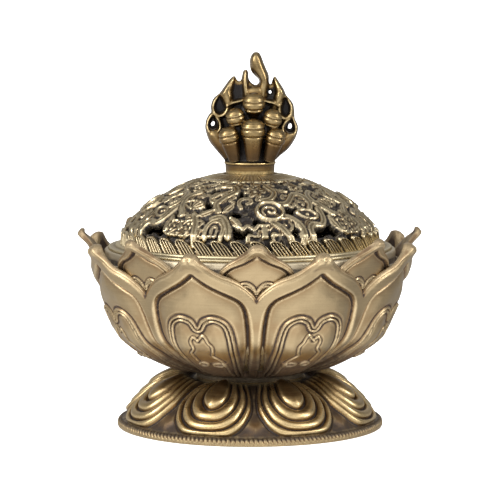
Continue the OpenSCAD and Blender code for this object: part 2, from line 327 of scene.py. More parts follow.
def cut_out(solid, wrap):
    """Triangulates the part of a grid where a field is positive, with its edge on the zero line.

    Gives the points as grid coordinates, and the triangles. wrap joins the last column to the first.
    """
    columns = solid.shape[0]
    field = np.vstack([solid, solid[:1]]) if wrap else solid
    keep = solid > 0
    number = np.full(field.shape, -1)
    number[:columns][keep] = np.arange(keep.sum())
    if wrap:
        number[-1] = number[0]
    coords = [np.argwhere(keep).astype(float)]
    count = int(keep.sum())

    def crossings(a, b, du, dv):
        nonlocal count
        cut = (a > 0) != (b > 0)
        ids = np.full(a.shape, -1)
        ids[cut] = count + np.arange(cut.sum())
        share = np.clip(a[cut] / (a[cut] - b[cut]), 0.1, 0.9)
        coords.append(np.argwhere(cut) + share[:, None] * np.array([du, dv]))
        count += int(cut.sum())
        return ids

    across = crossings(field[:-1], field[1:], 1, 0)
    along = crossings(solid[:, :-1], solid[:, 1:], 0, 1)
    if wrap:
        along = np.vstack([along, along[:1]])
    corner = [number[:-1, :-1], number[1:, :-1], number[1:, 1:], number[:-1, 1:]]
    side = [across[:, :-1], along[1:], across[:, 1:], along[:-1]]
    loop = np.stack([v.ravel() for pair in zip(corner, side) for v in pair], axis=1)
    used = (loop >= 0).sum(axis=1)
    triangles = []
    for size in range(3, 7):
        cells = loop[used == size]
        cells = cells[cells >= 0].reshape(-1, size)
        for k in range(1, size - 1):
            triangles.append(cells[:, [0, k, k + 1]])
    return np.vstack(coords), np.vstack(triangles)


def closed_sheets(front, back, triangles):
    """Points and triangles of the closed solid between two sheets that share their triangles."""
    count = len(front)
    pairs = np.concatenate([triangles[:, [0, 1]], triangles[:, [1, 2]], triangles[:, [2, 0]]])
    forward = pairs[:, 0].astype(np.int64) * count + pairs[:, 1]
    reverse = pairs[:, 1].astype(np.int64) * count + pairs[:, 0]
    rim = pairs[~np.isin(forward, reverse)]
    a, b = rim[:, 0], rim[:, 1]
    walls = np.vstack([np.stack([b, a, a + count], 1), np.stack([b, a + count, b + count], 1)])
    return np.vstack([front, back]), np.vstack([triangles, triangles[:, ::-1] + count, walls])


def sample(field, coords, wrap):
    """A field's value at grid coordinates that lie on its points or on the lines between two of them."""
    whole = np.floor(coords).astype(int)
    ahead = np.ceil(coords).astype(int)
    if wrap:
        whole[:, 0] %= field.shape[0]
        ahead[:, 0] %= field.shape[0]
    share = (coords - np.floor(coords)).max(axis=1)
    return (1 - share) * field[whole[:, 0], whole[:, 1]] + share * field[ahead[:, 0], ahead[:, 1]]


# ---- materials


class Nodes:
    """A short way to write a material's nodes."""

    def __init__(self, name):
        self.material = bpy.data.materials.new(name)
        self.material.use_nodes = True
        self.tree = self.material.node_tree
        self.shader = self.tree.nodes["Principled BSDF"]

    def add(self, kind, inputs=(), **settings):
        node = self.tree.nodes.new(kind)
        for key, value in settings.items():
            setattr(node, key, value)
        for key, value in dict(inputs).items():
            self.feed(node, key, value)
        return node

    def feed(self, node, key, value):
        if isinstance(value, bpy.types.NodeSocket):
            self.tree.links.new(value, node.inputs[key])
        else:
            node.inputs[key].default_value = value

    def place(self, scale=(1, 1, 1)):
        """The surface's own coordinates in metres, stretched."""
        source = self.add("ShaderNodeTexCoord").outputs["Object"]
        return self.add("ShaderNodeMapping", {"Vector": source, "Scale": scale}).outputs["Vector"]

    def noise(self, size_mm, detail=3, stretch=(1, 1, 1), roughness=0.55):
        scale = tuple(v / (size_mm * MM) for v in stretch)
        node = self.add(
            "ShaderNodeTexNoise",
            {"Vector": self.place(scale), "Scale": 1.0, "Detail": detail, "Roughness": roughness},
        )
        return node.outputs["Fac"]

    def attribute(self, name):
        return self.add("ShaderNodeAttribute", attribute_name=name).outputs["Fac"]

    def remap(self, value, low, high, to_low=0.0, to_high=1.0):
        return self.add(
            "ShaderNodeMapRange",
            {"Value": value, "From Min": low, "From Max": high, "To Min": to_low, "To Max": to_high},
            interpolation_type="SMOOTHSTEP",
        ).outputs["Result"]

    def math(self, operation, a, b=0.0, clamp=False):
        return self.add("ShaderNodeMath", {0: a, 1: b}, operation=operation, use_clamp=clamp).outputs[0]

    def mix(self, share, a, b):
        node = self.add("ShaderNodeMix", data_type="RGBA")
        self.feed(node, "Factor", share)
        for socket, value in ((node.inputs[6], a), (node.inputs[7], b)):
            if isinstance(value, bpy.types.NodeSocket):
                self.tree.links.new(value, socket)
            else:
                socket.default_value = (*value, 1.0)
        return node.outputs[2]

    def bump(self, height, distance_mm, normal=None):
        inputs = {"Height": height, "Distance": distance_mm * MM, "Strength": 1.0}
        if normal is not None:
            inputs["Normal"] = normal
        return self.add("ShaderNodeBump", inputs).outputs["Normal"]


STAIN_AND_SHADE = (0.64, 0.50, 0.40)  # what a brown stain, and the painted shade laid in the same way, leaves of the metal's colour


def antique_brass(name, base, worn, patina, polish=0.34, grain_mm=0.35, streaks=0.5, darkening=1.0, relief=True):
    """Cast brass: brushed, blotched, dark in its recesses and rubbed bright on its edges.

    base, worn and patina are its colours, and polish is its least roughness. The far range of the
    recesses also carries painted shade, where a piece lays it in as a least depth: there the stain
    and the patina colour paint shade. Without relief the darkening lies in patches, for a mesh that
    has no marked recesses.
    """
    n = Nodes(name)
    blotches = n.remap(n.noise(9, 4), 0.35, 0.68)
    grain = n.noise(grain_mm, 3)
    brushing = n.noise(1.0, 2, stretch=(0.12, 0.12, 4.5))
    colour = n.mix(n.math("MULTIPLY", blotches, 0.55), base, tuple(0.74 * c for c in base))
    colour = n.mix(n.remap(brushing, 0.3, 0.75, 0.0, 0.35 * streaks), colour, worn)
    colour = n.mix(n.remap(grain, 0.55, 0.8, 0.0, 0.3), colour, tuple(0.45 * c for c in base))
    if relief:
        near, far = n.attribute("near"), n.attribute("far")
        # Stain and patina from the far range; on pieces that lay their shaded parts into it, this paints
        # shade
        stain_and_shade = n.remap(far, 0.02, 0.28, 0.0, 0.8)
        colour = n.mix(stain_and_shade, colour, tuple(c * k for c, k in zip(base, STAIN_AND_SHADE)))
        rubbed = n.math("MULTIPLY", n.remap(near, -0.012, -0.09), n.remap(grain, 0.25, 0.6, 0.35, 1.0))
        colour = n.mix(n.math("MULTIPLY", rubbed, 0.85), colour, worn)
        patina_and_shade = n.math(
            "MAXIMUM",
            n.remap(near, 0.008, 0.13, 0.0, darkening),
            n.remap(far, 0.16, 0.5, 0.0, 0.85 * darkening),
        )
    else:
        patina_and_shade = n.remap(n.noise(2.2, 5), 0.56, 0.74, 0.0, 0.5 * darkening)
    patina_and_shade = n.math("MULTIPLY", patina_and_shade, n.remap(n.noise(1.3, 3), 0.2, 0.6, 0.72, 1.0), clamp=True)
    colour = n.mix(patina_and_shade, colour, patina)
    shader = n.shader
    n.feed(shader, "Base Color", colour)
    n.feed(shader, "Metallic", n.math("SUBTRACT", 1.0, n.math("MULTIPLY", patina_and_shade, 0.55)))
    rough = n.remap(n.noise(3.5, 4), 0.3, 0.7, polish - 0.05, polish + 0.08)
    rough = n.math("ADD", rough, n.math("MULTIPLY", patina_and_shade, 0.22))
    n.feed(shader, "Roughness", n.math("ADD", rough, n.remap(brushing, 0.3, 0.75, 0.0, 0.07)))
    normal = n.bump(brushing, 0.02 * streaks)
    normal = n.bump(grain, 0.018, normal=normal)
    n.feed(shader, "Normal", n.bump(n.noise(1.6, 3), 0.05, normal=normal))
    return n.material


def plated_steel(name):
    """Zinc-plated steel with fine turning marks."""
    n = Nodes(name)
    turned = n.noise(0.8, 2, stretch=(0.3, 0.3, 6))
    spots = n.remap(n.noise(1.8, 4), 0.5, 0.75)
    colour = n.mix(n.math("MULTIPLY", spots, 0.4), (0.62, 0.62, 0.64), (0.38, 0.36, 0.33))
    n.feed(n.shader, "Base Color", colour)
    n.feed(n.shader, "Metallic", 1.0)
    n.feed(n.shader, "Roughness", n.remap(turned, 0.3, 0.7, 0.26, 0.42))
    n.feed(n.shader, "Normal", n.bump(turned, 0.01))
    return n.material


BOWL_BRASS = antique_brass(
    "bowl_brass", (0.385, 0.29, 0.165), (0.60, 0.47, 0.28), (0.045, 0.027, 0.018), polish=0.37, darkening=1.1
)
FOOT_BRASS = antique_brass(
    "foot_brass", (0.30, 0.205, 0.095), (0.66, 0.50, 0.26), (0.03, 0.02, 0.015), polish=0.3, darkening=1.1
)
LID_BRASS = antique_brass(
    "lid_brass", (0.265, 0.205, 0.118), (0.60, 0.50, 0.32), (0.016, 0.012, 0.01),
    polish=0.28, streaks=0.25, darkening=1.2,
)
FLANGE_BRASS = antique_brass(
    "flange_brass", (0.41, 0.335, 0.203), (0.62, 0.53, 0.34), (0.05, 0.036, 0.024), polish=0.38, darkening=0.6
)
FINIAL_BRASS = antique_brass(
    "finial_brass", (0.23, 0.157, 0.068), (0.74, 0.58, 0.32), (0.012, 0.009, 0.008),
    polish=0.26, streaks=0.3, darkening=1.3,
)
COLLAR_BRASS = antique_brass(
    "collar_brass", (0.185, 0.118, 0.048), (0.56, 0.42, 0.2), (0.03, 0.018, 0.01), polish=0.3, grain_mm=0.5
)
DISH_BRASS = antique_brass(
    "dish_brass", (0.54, 0.44, 0.26), (0.70, 0.58, 0.36), (0.10, 0.07, 0.045), streaks=0.3, relief=False
)
STEEL = plated_steel("plated_steel")


def finish_piece(piece, body, material, replaced, far_passes=FAR_PASSES, dirt_and_shade=CLEAN):
    """Gives a made piece its material, its body and the CAD node that it stands for."""
    mark_recesses(piece, far_passes, dirt_and_shade)
    piece.data.materials.append(material)
    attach(piece, body)
    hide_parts(replaced)
    return piece


# ---- bowl

LEAN = 0.345  # how much the petals lean out, per millimetre of height
BELLY_Z = BOWL_Z + 1.2  # where the petals start, over a short neck
BELLY = 15.8  # how far the bottom draws in
BELLY_RISE = 4.0  # how quickly it does
BELLY_POWER = 1.25
# Where it is flatter over the bottom and fuller just over the neck: how much, how far up and how wide
HIP = (1.0, 5.8, 2.4)
HEEL = (0.8, 1.6, 1.3)
NECK_R = 12.6
SEAM_DEPTH = 1.3  # how much deeper the bowl is between two large petals than over their middles
PETAL_THICK = 1.5
PETAL_CURL = 0.9  # how far the tips curl out
PETAL_COLUMNS = 96
SMALL_TIP_R = 39.5
SMALL_LEAN = 0.425
SMALL_CURL = 1.5
SMALL_THICK = 1.3
NOTCH_DROP = 10.3  # from a large petal's tip down to where two of them meet

# Large petal, as degrees from its middle line and drop below its tip, from the tip outwards
LARGE_EDGE = [
    (0, 0), (1.4, 0.1), (2.4, 0.55), (3.7, 1.6), (6.8, 3.35), (9.9, 4.55), (13.2, 5.5), (16.8, 6.9),
    (20.2, 8.75), (HALF_PITCH, NOTCH_DROP),
]
LARGE_PANEL = [
    (0, 4.3), (1.6, 5.0), (5, 6.5), (9, 7.9), (12.8, 9.2), (16, 10.5), (18.1, 12.4), (19.1, 15.5), (19.5, 19),
    (19.6, 22.5), (19.1, 25.5), (18.2, 28), (17.4, 31), (17, 34),
]
# The double line on the panel, a heart that stays open at its foot
HEART = [
    (0, 16.5), (1.9, 14.9), (4.2, 14.1), (7, 13.9), (9.8, 14.6), (11.9, 16), (13, 18.2), (13.6, 21),
    (13.9, 24.5), (13.8, 28), (13, 34),
]
HEART_GAP = 0.85  # from its outer line to its inner one
# Raised and sunk lines along the heart: height, depth inside its outer line and half-width
HEART_LINES = [
    (0.42, 0, 0.33), (0.36, HEART_GAP, 0.31), (-0.20, -0.55, 0.5), (-0.30, HEART_GAP / 2, 0.27),
    (-0.20, HEART_GAP + 0.5, 0.4),
]
# The leaf inside the heart, which leans to one side, and its two curls
LEAF_RIGHT = [
    (-0.8, 19.4), (1.4, 18.2), (2.6, 18.7), (3.4, 19.8), (4.7, 20.8), (4.3, 22.3), (3.7, 23.0), (5.4, 23.7),
    (7.4, 24.8), (8.3, 26.3), (8.3, 29.6),
]
LEAF_LEFT = [
    (-0.8, 19.4), (-2.4, 18.6), (-3.9, 19.6), (-3.6, 21.4), (-5.4, 22.4), (-5.3, 23.5), (-4.7, 24.6),
]
# The leaf's two eyes: place, half-width and half-height
LEAF_EYES = [((5.4, 25.3), 1.4, 0.8), ((-2.5, 25.2), 1.0, 0.8)]

# Small petal, as degrees from its middle line and drop below its tip
SMALL_EDGE = [
    (0, 0.65), (1.2, 0.8), (2.5, 1.5), (4.0, 2.4), (6.0, 3.2), (8.6, 4.1), (11.0, 5.1), (12.9, 6.3),
    (14.0, 7.8), (15.2, 8.8), (HALF_PITCH, 9.0),
]
SMALL_PANEL = [
    (0, 2.5), (1.4, 3.1), (5.0, 4.3), (9.0, 5.4), (11.4, 6.7), (12.2, 8.3), (11.8, 10.5), (10, 13), (7, 16),
]
BOW = [(0, 10.5), (1.3, 9.5), (2.8, 8.8), (4.3, 8.6), (5.8, 8.9), (7.2, 9.6)]


def bowl_radius(z):
    """Outside of the bowl over a large petal's middle."""
    up = z - BELLY_Z
    rise = np.maximum(0, up) / BELLY_RISE
    hip = HIP[0] * bell(up, *HIP[1:]) - HEEL[0] * bell(up, *HEEL[1:])
    return PETAL_TIP_R - LEAN * (PETAL_TIP_Z - z) - BELLY * np.exp(-(rise**BELLY_POWER)) - hip


def small_radius(z):
    """Outside of the small petals, which curl out at their tips."""
    curl = SMALL_CURL * ease(z, SMALL_TIP_Z - 3.6, SMALL_TIP_Z - 0.6)
    return SMALL_TIP_R - SMALL_LEAN * (SMALL_TIP_Z - z) + curl


def profile_of(radius, z_low, z_high, crowding=1.0):
    z = z_low + (z_high - z_low) * np.linspace(0, 1, 400) ** crowding
    return Profile(np.stack([radius(z), z], axis=1))


def on_petal(points, profile, tip_z):
    """Points given as degrees and drop below the tip, laid flat: across the petal and along it."""
    p = np.array(points, float)
    s = profile.s_at_z(tip_z - p[:, 1])
    return np.stack([profile.r(s) * np.radians(p[:, 0]), s], axis=1)


def petal_grid(profile, tip_z, edge, rows):
    """Angles and arc lengths of a petal's grid, whose last row runs along the petal's edge."""
    angle = np.linspace(-HALF_PITCH, HALF_PITCH, PETAL_COLUMNS, endpoint=False)
    outline = spline(edge, 8)
    top = profile.s_at_z(tip_z - np.interp(np.abs(angle), outline[:, 0], outline[:, 1]))
    s = top[:, None] * np.linspace(0, 1, rows)
    angle = np.tile(angle[:, None], (1, rows))
    return angle, s, profile.r(s) * np.radians(angle)


def close_petal(profile, s, height, back_rows, thick, sink, knob):
    """Adds a rounded edge and the back to a petal's outside.

    sink lowers the whole petal, and knob is how much thicker its edge is.
    """
    r, z = profile.raised(s, height - sink)
    back_s = s[:, -1:] + (s[:, :1] - s[:, -1:]) * np.linspace(0, 1, back_rows)
    sink_top = sink[:, -1:]
    knob = knob[:, None]
    near_edge = bell(back_s[:, :1], back_s, 1.3)
    back_r, back_z = profile.raised(back_s, -thick - sink_top - knob * near_edge)
    t = np.linspace(0, 1, 8)[1:-1]
    lift = (0.45 + 0.1 * knob) * np.sin(np.pi * t)
    edge_r = r[:, -1:] + (back_r[:, :1] - r[:, -1:]) * t
    edge_z = z[:, -1:] + (back_z[:, :1] - z[:, -1:]) * t + lift
    return np.hstack([r, edge_r, back_r]), np.hstack([z, edge_z, back_z])


def petal_knob(x, width, height):
    """How much thicker a petal is at its tip."""
    return height * bell(x[:, -1], 0, width)


def around_bowl(name, sections, mirrored_sections, first_angle):
    """Repeats a petal's sections round the bowl, every second one mirrored."""
    step = PITCH / PETAL_COLUMNS
    angles = first_angle - HALF_PITCH + step * np.arange(PETALS * PETAL_COLUMNS)
    r = np.vstack([(mirrored_sections if k % 2 else sections)[0] for k in range(PETALS)])
    z = np.vstack([(mirrored_sections if k % 2 else sections)[1] for k in range(PETALS)])
    return ring(name, angles, r, z)


def mirror_columns(field):
    """A petal's field seen in a mirror, on the same grid."""
    return np.roll(field[::-1], 1, axis=0)


def add_leaf(height, x, s, lay):
    """Raises the leaf inside the heart, and gives the dirt on it."""
    whole = np.vstack([lay(LEAF_LEFT), lay(LEAF_RIGHT)[::-1]])
    darkening = 0.13 * ease(depth_in(x, s, whole), 0, 0.4)
    both = [distance_to(x, s, spline(lay(line), 6)) for line in (LEAF_RIGHT, LEAF_LEFT)]
    for away in both:
        height = height + 0.27 * ridge(away, 0.26) - 0.16 * ridge(away - 0.44, 0.25)
    darkening = np.maximum(darkening, 0.2 * halo(np.minimum(*both) - 0.35, 0.4, 0.4))
    for place, half_width, half_height in LEAF_EYES:
        px, ps = lay([place])[0]
        away = np.hypot((x - px) / half_width, (s - ps) / half_height)
        height = height + 0.45 * ridge(away - 1, 0.36) - 0.3 * ridge(away, 0.7)
        darkening = np.maximum(darkening, 0.45 * ridge(away, 0.8))
    return height, darkening


def large_petal_relief(profile, x, s):
    """Height of a large petal's relief above the plain bowl."""
    lay = lambda points: on_petal(points, profile, PETAL_TIP_Z)
    panel = depth_in(x, s, spline(lay(mirrored(LARGE_PANEL)), 6))
    edge = distance_to(x, s, spline(lay(mirrored(LARGE_EDGE)), 6))
    heart = depth_in(x, s, spline(lay(mirrored(HEART)), 6))
    half_seam = profile.r(s) * math.radians(HALF_PITCH)
    to_seam = half_seam - np.abs(x)

    # Border: a broad soft band that rolls off at the free edge and at the panel
    rim = np.minimum(edge, np.maximum(to_seam, 0) + 1.2)
    height = 0.12 * ease(rim, 0, 1.2) - 0.35 * (1 - ease(edge, 0, 0.75))
    height = height + 0.28 * ease(-panel, 0, 1.1) - 0.28
    # Panel: sunk at its border and swelling towards its middle
    swell = soften(0.75 * ease(panel, 0, 3.6), 16)
    height = np.where(panel > 0, -0.72 + swell, height)
    height = height - 0.55 * ridge(panel - 0.1, 0.62)
    # Heart: two raised lines with the leaf between them
    for rise, depth, half_width in HEART_LINES:
        height = height + rise * ridge(heart - depth, half_width)
    height = height + 0.25 * ease(heart, 1.2, 3.6)
    height, leaf_dirt = add_leaf(height, x, s, lay)
    # A crease in the tip
    tip = profile.s_at_z(PETAL_TIP_Z)
    height = height - 0.35 * bell(x, 0, 0.3) * ease(s, tip - 2.1, tip - 0.2)
    # Dark patina along the panel's border and round the heart; painted shade towards the bottom, over the
    # foot
    over_neck = profile.z(s) - BELLY_Z
    dirt_and_shade = np.maximum.reduce([
        0.42 * halo(panel, 1.3, 0.35),
        # painted shade: the bowl darkens towards its bottom, which faces the shaded foot, with a faint band
        # above
        0.26 * halo(heart, 0.8, 1.3),
        np.minimum(0.45, 0.6 * (1 - ease(over_neck, 1, 11))),
        0.16 * bell(over_neck, 14, 2.4),
        leaf_dirt,
        0.22 * (1 - ease(edge, 0, 0.5)),
    ])
    return height, dirt_and_shade


def whole_dirt_and_shade(dirt_and_shade, sections, back):
    """Darkening for a petal's outside, patina with painted shade towards the large petals' bottom, and one
    even value for its edge and its back.
    """
    rest = sections[0].shape[1] - dirt_and_shade.shape[1]
    return np.hstack([dirt_and_shade, np.full((len(dirt_and_shade), rest), back)])


def large_petals():
    profile = profile_of(bowl_radius, BELLY_Z, PETAL_TIP_Z + 1, 1.7)
    angle, s, x = petal_grid(profile, PETAL_TIP_Z, LARGE_EDGE, 200)
    height, dirt_and_shade = large_petal_relief(profile, x, s)
    share = np.abs(angle) / HALF_PITCH
    sink = SEAM_DEPTH * ease(share, 0.3, 1.0) * ease(s, 0, 5)
    fade = ease(s, 0.2, 2)  # the relief starts a little above the neck
    tips = PETAL_CURL * ease(profile.z(s), PETAL_TIP_Z - 3.2, PETAL_TIP_Z - 0.3)
    knob = petal_knob(x, 2.2, 0.8)
    plain, swapped = (
        close_petal(profile, s, relief * fade + tips, 20, PETAL_THICK, sink, knob)
        for relief in (height, mirror_columns(height))
    )
    piece = around_bowl("bowl_large_petals", plain, swapped, -90 - HALF_PITCH)
    darkening = [whole_dirt_and_shade(g, plain, 0.3) for g in (dirt_and_shade, mirror_columns(dirt_and_shade))]
    darkening = np.vstack([darkening[k % 2] for k in range(PETALS)]).ravel()
    finish_piece(piece, "base", BOWL_BRASS, "bowl", dirt_and_shade=darkening)


def small_petal_relief(profile, x, s):
    """Height of a small petal's relief above the plain surface of the second layer."""
    lay = lambda points: on_petal(points, profile, SMALL_TIP_Z)
    panel = depth_in(x, s, spline(lay(mirrored(SMALL_PANEL)), 6))
    edge = distance_to(x, s, spline(lay(mirrored(SMALL_EDGE)), 6))
    bow = distance_to(x, s, spline(lay(mirrored(BOW)), 6))
    second_bow = distance_to(x, s + 0.75, spline(lay(mirrored(BOW)), 6))
    height = -0.3 * (1 - ease(edge, 0, 0.6))
    swell = soften(0.45 * ease(panel, 0, 2.6), 10)
    height = np.where(panel > 0, -0.55 + swell, height)
    height = height - 0.40 * ridge(panel - 0.1, 0.46)
    height = height + 0.38 * ridge(bow, 0.30) + 0.34 * ridge(second_bow, 0.26)
    height = height - 0.22 * ridge(np.minimum(bow, second_bow) - 0.38, 0.2)
    tip = profile.s_at_z(SMALL_TIP_Z)
    height = height - 0.25 * bell(x, 0, 0.3) * ease(s, tip - 1.4, tip - 0.1)
    dirt_and_shade = np.maximum.reduce([
        0.42 * halo(panel, 1.2, 0.5),
        np.full(x.shape, 0.06),
        0.26 * (1 - ease(edge, 0, 0.6)),
        0.3 * halo(np.minimum(bow, second_bow) - 0.4, 0.3, 0.3),
        0.3 * (1 - ease(profile.z(s), SMALL_TIP_Z - 14, SMALL_TIP_Z - 10)),
    ])
    return height, dirt_and_shade


def small_petals():
    profile = profile_of(small_radius, 29, SMALL_TIP_Z + 1)
    _, s, x = petal_grid(profile, SMALL_TIP_Z, SMALL_EDGE, 100)
    height, dirt_and_shade = small_petal_relief(profile, x, s)
    sections = close_petal(profile, s, height, 14, SMALL_THICK, 0.0 * s, petal_knob(x, 1.5, 0.9))
    piece = around_bowl("bowl_small_petals", sections, sections, -90)
    darkening = np.tile(whole_dirt_and_shade(dirt_and_shade, sections, 0.35), (PETALS, 1)).ravel()
    finish_piece(piece, "base", BOWL_BRASS, "bowl", dirt_and_shade=darkening)


# Vessel behind the petals
SEAT_R = 32.0
RIM_R = 34.2
SEAT_DROP = 4.5  # from the vessel's rim down to the lid's seat
FLOOR_Z = 15.0
CREVICE_DROP = 2.6  # from the rim down to the gap behind the petals
VESSEL_RIM_Z = LID_Z - 0.02
SEAT_Z = VESSEL_RIM_Z - SEAT_DROP
ON_AXIS = 0.0005  # radius of a section's ends, just off the axis
FINE = 256  # segments of the large turned rings


def vessel_outside():
    """Up the outside, which stays hidden behind both rows of petals."""
    low = [(NECK_R, BOWL_Z), (NECK_R, BELLY_Z - 0.3), (NECK_R + 0.5, BELLY_Z + 0.2)]
    up = np.linspace(BELLY_Z + 0.6, VESSEL_RIM_Z - CREVICE_DROP, 30)
    behind = [bowl_radius(z) - 3.0 - 1.6 * math.exp((BELLY_Z - z) / 6) for z in up]
    return low + [(max(NECK_R + 0.6, min(r, small_radius(max(z, 33)) - 0.7)), z) for r, z in zip(behind, up)]


def vessel_inside():
    """Down the inside from the seat to the floor."""
    down = FLOOR_Z + (SEAT_Z - 0.5 - FLOOR_Z) * np.linspace(1, 0, 24) ** 1.7
    return [(27.6 + 0.2 * (z - FLOOR_Z) - 15.1 * np.exp(-(z - FLOOR_Z) / 4), z) for z in down]


def vessel():
    """The inside of the bowl, its rim and the seat for the lid."""
    rim_z = VESSEL_RIM_Z
    crevice = rim_z - CREVICE_DROP
    rim = [
        (RIM_R + 0.2, crevice), (RIM_R, crevice + 0.2), (RIM_R, rim_z - 0.5), (RIM_R - 0.15, rim_z - 0.15),
        (RIM_R - 0.5, rim_z), (SEAT_R + 0.4, rim_z), (SEAT_R + 0.1, rim_z - 0.1), (SEAT_R, rim_z - 0.4),
        (SEAT_R, SEAT_Z + 0.2), (SEAT_R - 0.1, SEAT_Z),
    ]
    section = [(ON_AXIS, BOWL_Z)] + vessel_outside() + rim + vessel_inside() + [(ON_AXIS, FLOOR_Z)]
    piece = lathe("bowl_vessel", section, FINE)
    # Painted shade: the neck below the belly, in the bowl's shadow, is darkened through its least depth
    below = 0.55 * (np.array(section)[:, 1] < BELLY_Z + 1)
    finish_piece(piece, "base", VESSEL_BRASS, "bowl", dirt_and_shade=np.tile(below, FINE))


VESSEL_BRASS = antique_brass(
    "vessel_brass", (0.40, 0.33, 0.225), (0.55, 0.47, 0.33), (0.05, 0.038, 0.03), polish=0.42, darkening=0.9
)

large_petals()
small_petals()
vessel()

# ---- foot

SHOULDER_R = 14.0
LOBED_R = 29.9  # where the lobed surface meets the rim
RIM_TOP = 2.0
FOOT_ROWS = 118
RIM_NOTCHES = 184
NOTCH_COLUMNS = 8
# Section of the rim: how far inside its widest radius, height, and how deep the notches are there
FOOT_RIM = [
    (3, 0.0, 0), (0.5, 0.0, 0), (0.12, 0.12, 0), (0, 0.4, 0.02), (0, 0.75, 0.08), (0, 1.0, 0.16),
    (0.05, 1.25, 0.26), (0.16, 1.5, 0.34), (0.36, 1.72, 0.36), (0.62, 1.84, 0.30), (0.88, 1.84, 0.14),
    (1.1, 1.74, 0), (1.4, 1.9, 0), (1.7, 2.15, 0), (3, 1.6, 0),
]

# Outlines on a lobe, as radius on the plain foot and distance from the lobe's middle line
BOSS_LINE = [
    (25.2, 0), (24.8, 1.3), (23.8, 2.35), (22.4, 2.85), (20.8, 2.8), (19, 2.35), (17, 1.7), (15, 1.1),
    (13.4, 0.8),
]
FIRST_LINE = [
    (27.4, 0), (27.2, 2.3), (26.4, 4.0), (24.8, 5.1), (22.8, 5.3), (21, 4.9), (18.5, 3.8), (16, 2.7),
    (13.4, 1.9),
]
SECOND_LINE = [
    (29.1, 0), (28.9, 3.0), (28.3, 5.0), (27.1, 6.6), (25.2, 7.3), (23, 7.25), (20.5, 6.3),
    (17.5, 4.7), (15, 3.6), (13.4, 3.1),
]
THIRD_LINE = [
    (30.4, 0), (30.2, 3.6), (29.6, 6.0), (28.5, 7.8), (26.8, 8.75), (24.6, 8.9), (22.4, 8.2),
    (20, 7.1), (17, 5.7), (14.6, 4.7), (13.4, 4.3),
]
# The tip of a hidden leaf between two lobes, as distance from the seam and radius
LEAF_TIP = [(0, 29.6), (0.8, 29.2), (1.6, 28.6), (2.8, 28.1), (3.8, 28.2), (5.0, 28.9)]


def foot_height(r):
    """Height of the plain foot between its lobes."""
    rise = BOWL_Z - 0.6 - RIM_TOP - 0.2
    return RIM_TOP + 0.2 + rise * (1 - (np.maximum(0, r - SHOULDER_R) / (FOOT_R - 1.7 - SHOULDER_R)) ** 1.98)


def foot_profile():
    r = np.linspace(13.4, LOBED_R, 400)
    return Profile(np.stack([r, foot_height(r)], axis=1), side=-1)


def foot_relief(profile, x, s):
    """Height of the lobes above the plain foot. x runs across a lobe, s along it from the neck."""
    def lay(points):
        p = np.array([(w, profile.s_at_r(r)) for r, w in points])
        return spline(mirrored(p), 6)

    lines = [depth_in(x, s, lay(points)) for points in (BOSS_LINE, FIRST_LINE, SECOND_LINE, THIRD_LINE)]
    boss, first, second, third = lines
    height = np.zeros(x.shape)
    for outer, inner, foot_of_ridge, rise in (
        (third, second, 0.25, 0.80), (second, first, 0.55, 0.85), (first, boss, 0.85, 0.9),
    ):
        share = outer / np.maximum(outer - inner, 0.05)
        swell = foot_of_ridge + rise * np.sin(np.pi * np.clip(share, 0, 1)) ** 0.75
        height = np.where((outer > 0) & (inner <= 0), swell, height)
    height = np.where(boss > 0, 1.0 + 1.5 * np.sqrt(np.clip(1 - (1 - boss / 2.7) ** 2, 0, 1)), height)
    for line in lines:
        height = height - 0.38 * ridge(line, 0.45)
    half_seam = profile.r(s) * math.radians(HALF_PITCH)
    across = half_seam - np.abs(x)
    dirt_and_shade = 0.5 * (1 - ease(third, -0.5, 0.6))
    # Painted shade: the top of the foot next to the neck, under the bowl, is darkened
    dirt_and_shade = np.maximum(dirt_and_shade, 0.5 * (1 - ease(s, 1.5, 6.5)))
    for line in lines:
        dirt_and_shade = np.maximum(dirt_and_shade, 0.28 * halo(line, 0.45, 0.45))
    # Tip of a hidden leaf between two lobes, a low plate with a soft edge
    tip = spline(LEAF_TIP, 6)
    short_of = np.interp(across, tip[:, 0], tip[:, 1]) - profile.r(s)
    leaf = ease(short_of, -0.2, 1.0) * (1 - ease(short_of, 1.2, 4.0)) * ease(-third, 0, 0.7)
    leaf = soften(leaf, 12)
    dirt_and_shade = dirt_and_shade * (1 - 0.35 * leaf)
    return (height + 0.45 * leaf) * ease(s, 0, 3.5), dirt_and_shade


def foot_underside():
    """The section's way back from the neck down the screw's hole and out under the shell."""
    r = np.linspace(8.0, LOBED_R - 1.0, 26)
    z = np.minimum(foot_height(np.maximum(SHOULDER_R, r)) - 2.2, BOWL_Z - 2.8)
    z[-1] = 0.9
    bore = [(12.8, BOWL_Z), (2.2, BOWL_Z), (2.2, 7.8), (5.9, 7.8), (6.1, 8.9)]
    return np.array(bore + list(zip(r, z)) + [(LOBED_R, 0.9)])


def foot_body():
    profile = foot_profile()
    angle = np.linspace(-HALF_PITCH, HALF_PITCH, PETAL_COLUMNS, endpoint=False)
    s = np.tile(np.linspace(0, profile.s[-1], FOOT_ROWS), (PETAL_COLUMNS, 1))
    x = profile.r(s) * np.radians(angle)[:, None]
    height, dirt_and_shade = foot_relief(profile, x, s)
    r, z = profile.raised(s, height)
    z = np.minimum(z, BELLY_Z + 1.2)
    # Sections run from the rim up to the neck, and back down inside
    under = foot_underside()
    r = np.hstack([r[:, ::-1], np.tile(under[:, 0], (PETAL_COLUMNS, 1))])
    z = np.hstack([z[:, ::-1], np.tile(under[:, 1], (PETAL_COLUMNS, 1))])
    piece = around_bowl("foot_body", (r, z), (r, z), -90 - HALF_PITCH)
    darkening = np.hstack([dirt_and_shade[:, ::-1], np.full((PETAL_COLUMNS, len(under)), 0.2)])
    finish_piece(piece, "base", FOOT_BRASS, "foot", dirt_and_shade=np.tile(darkening, (PETALS, 1)).ravel())


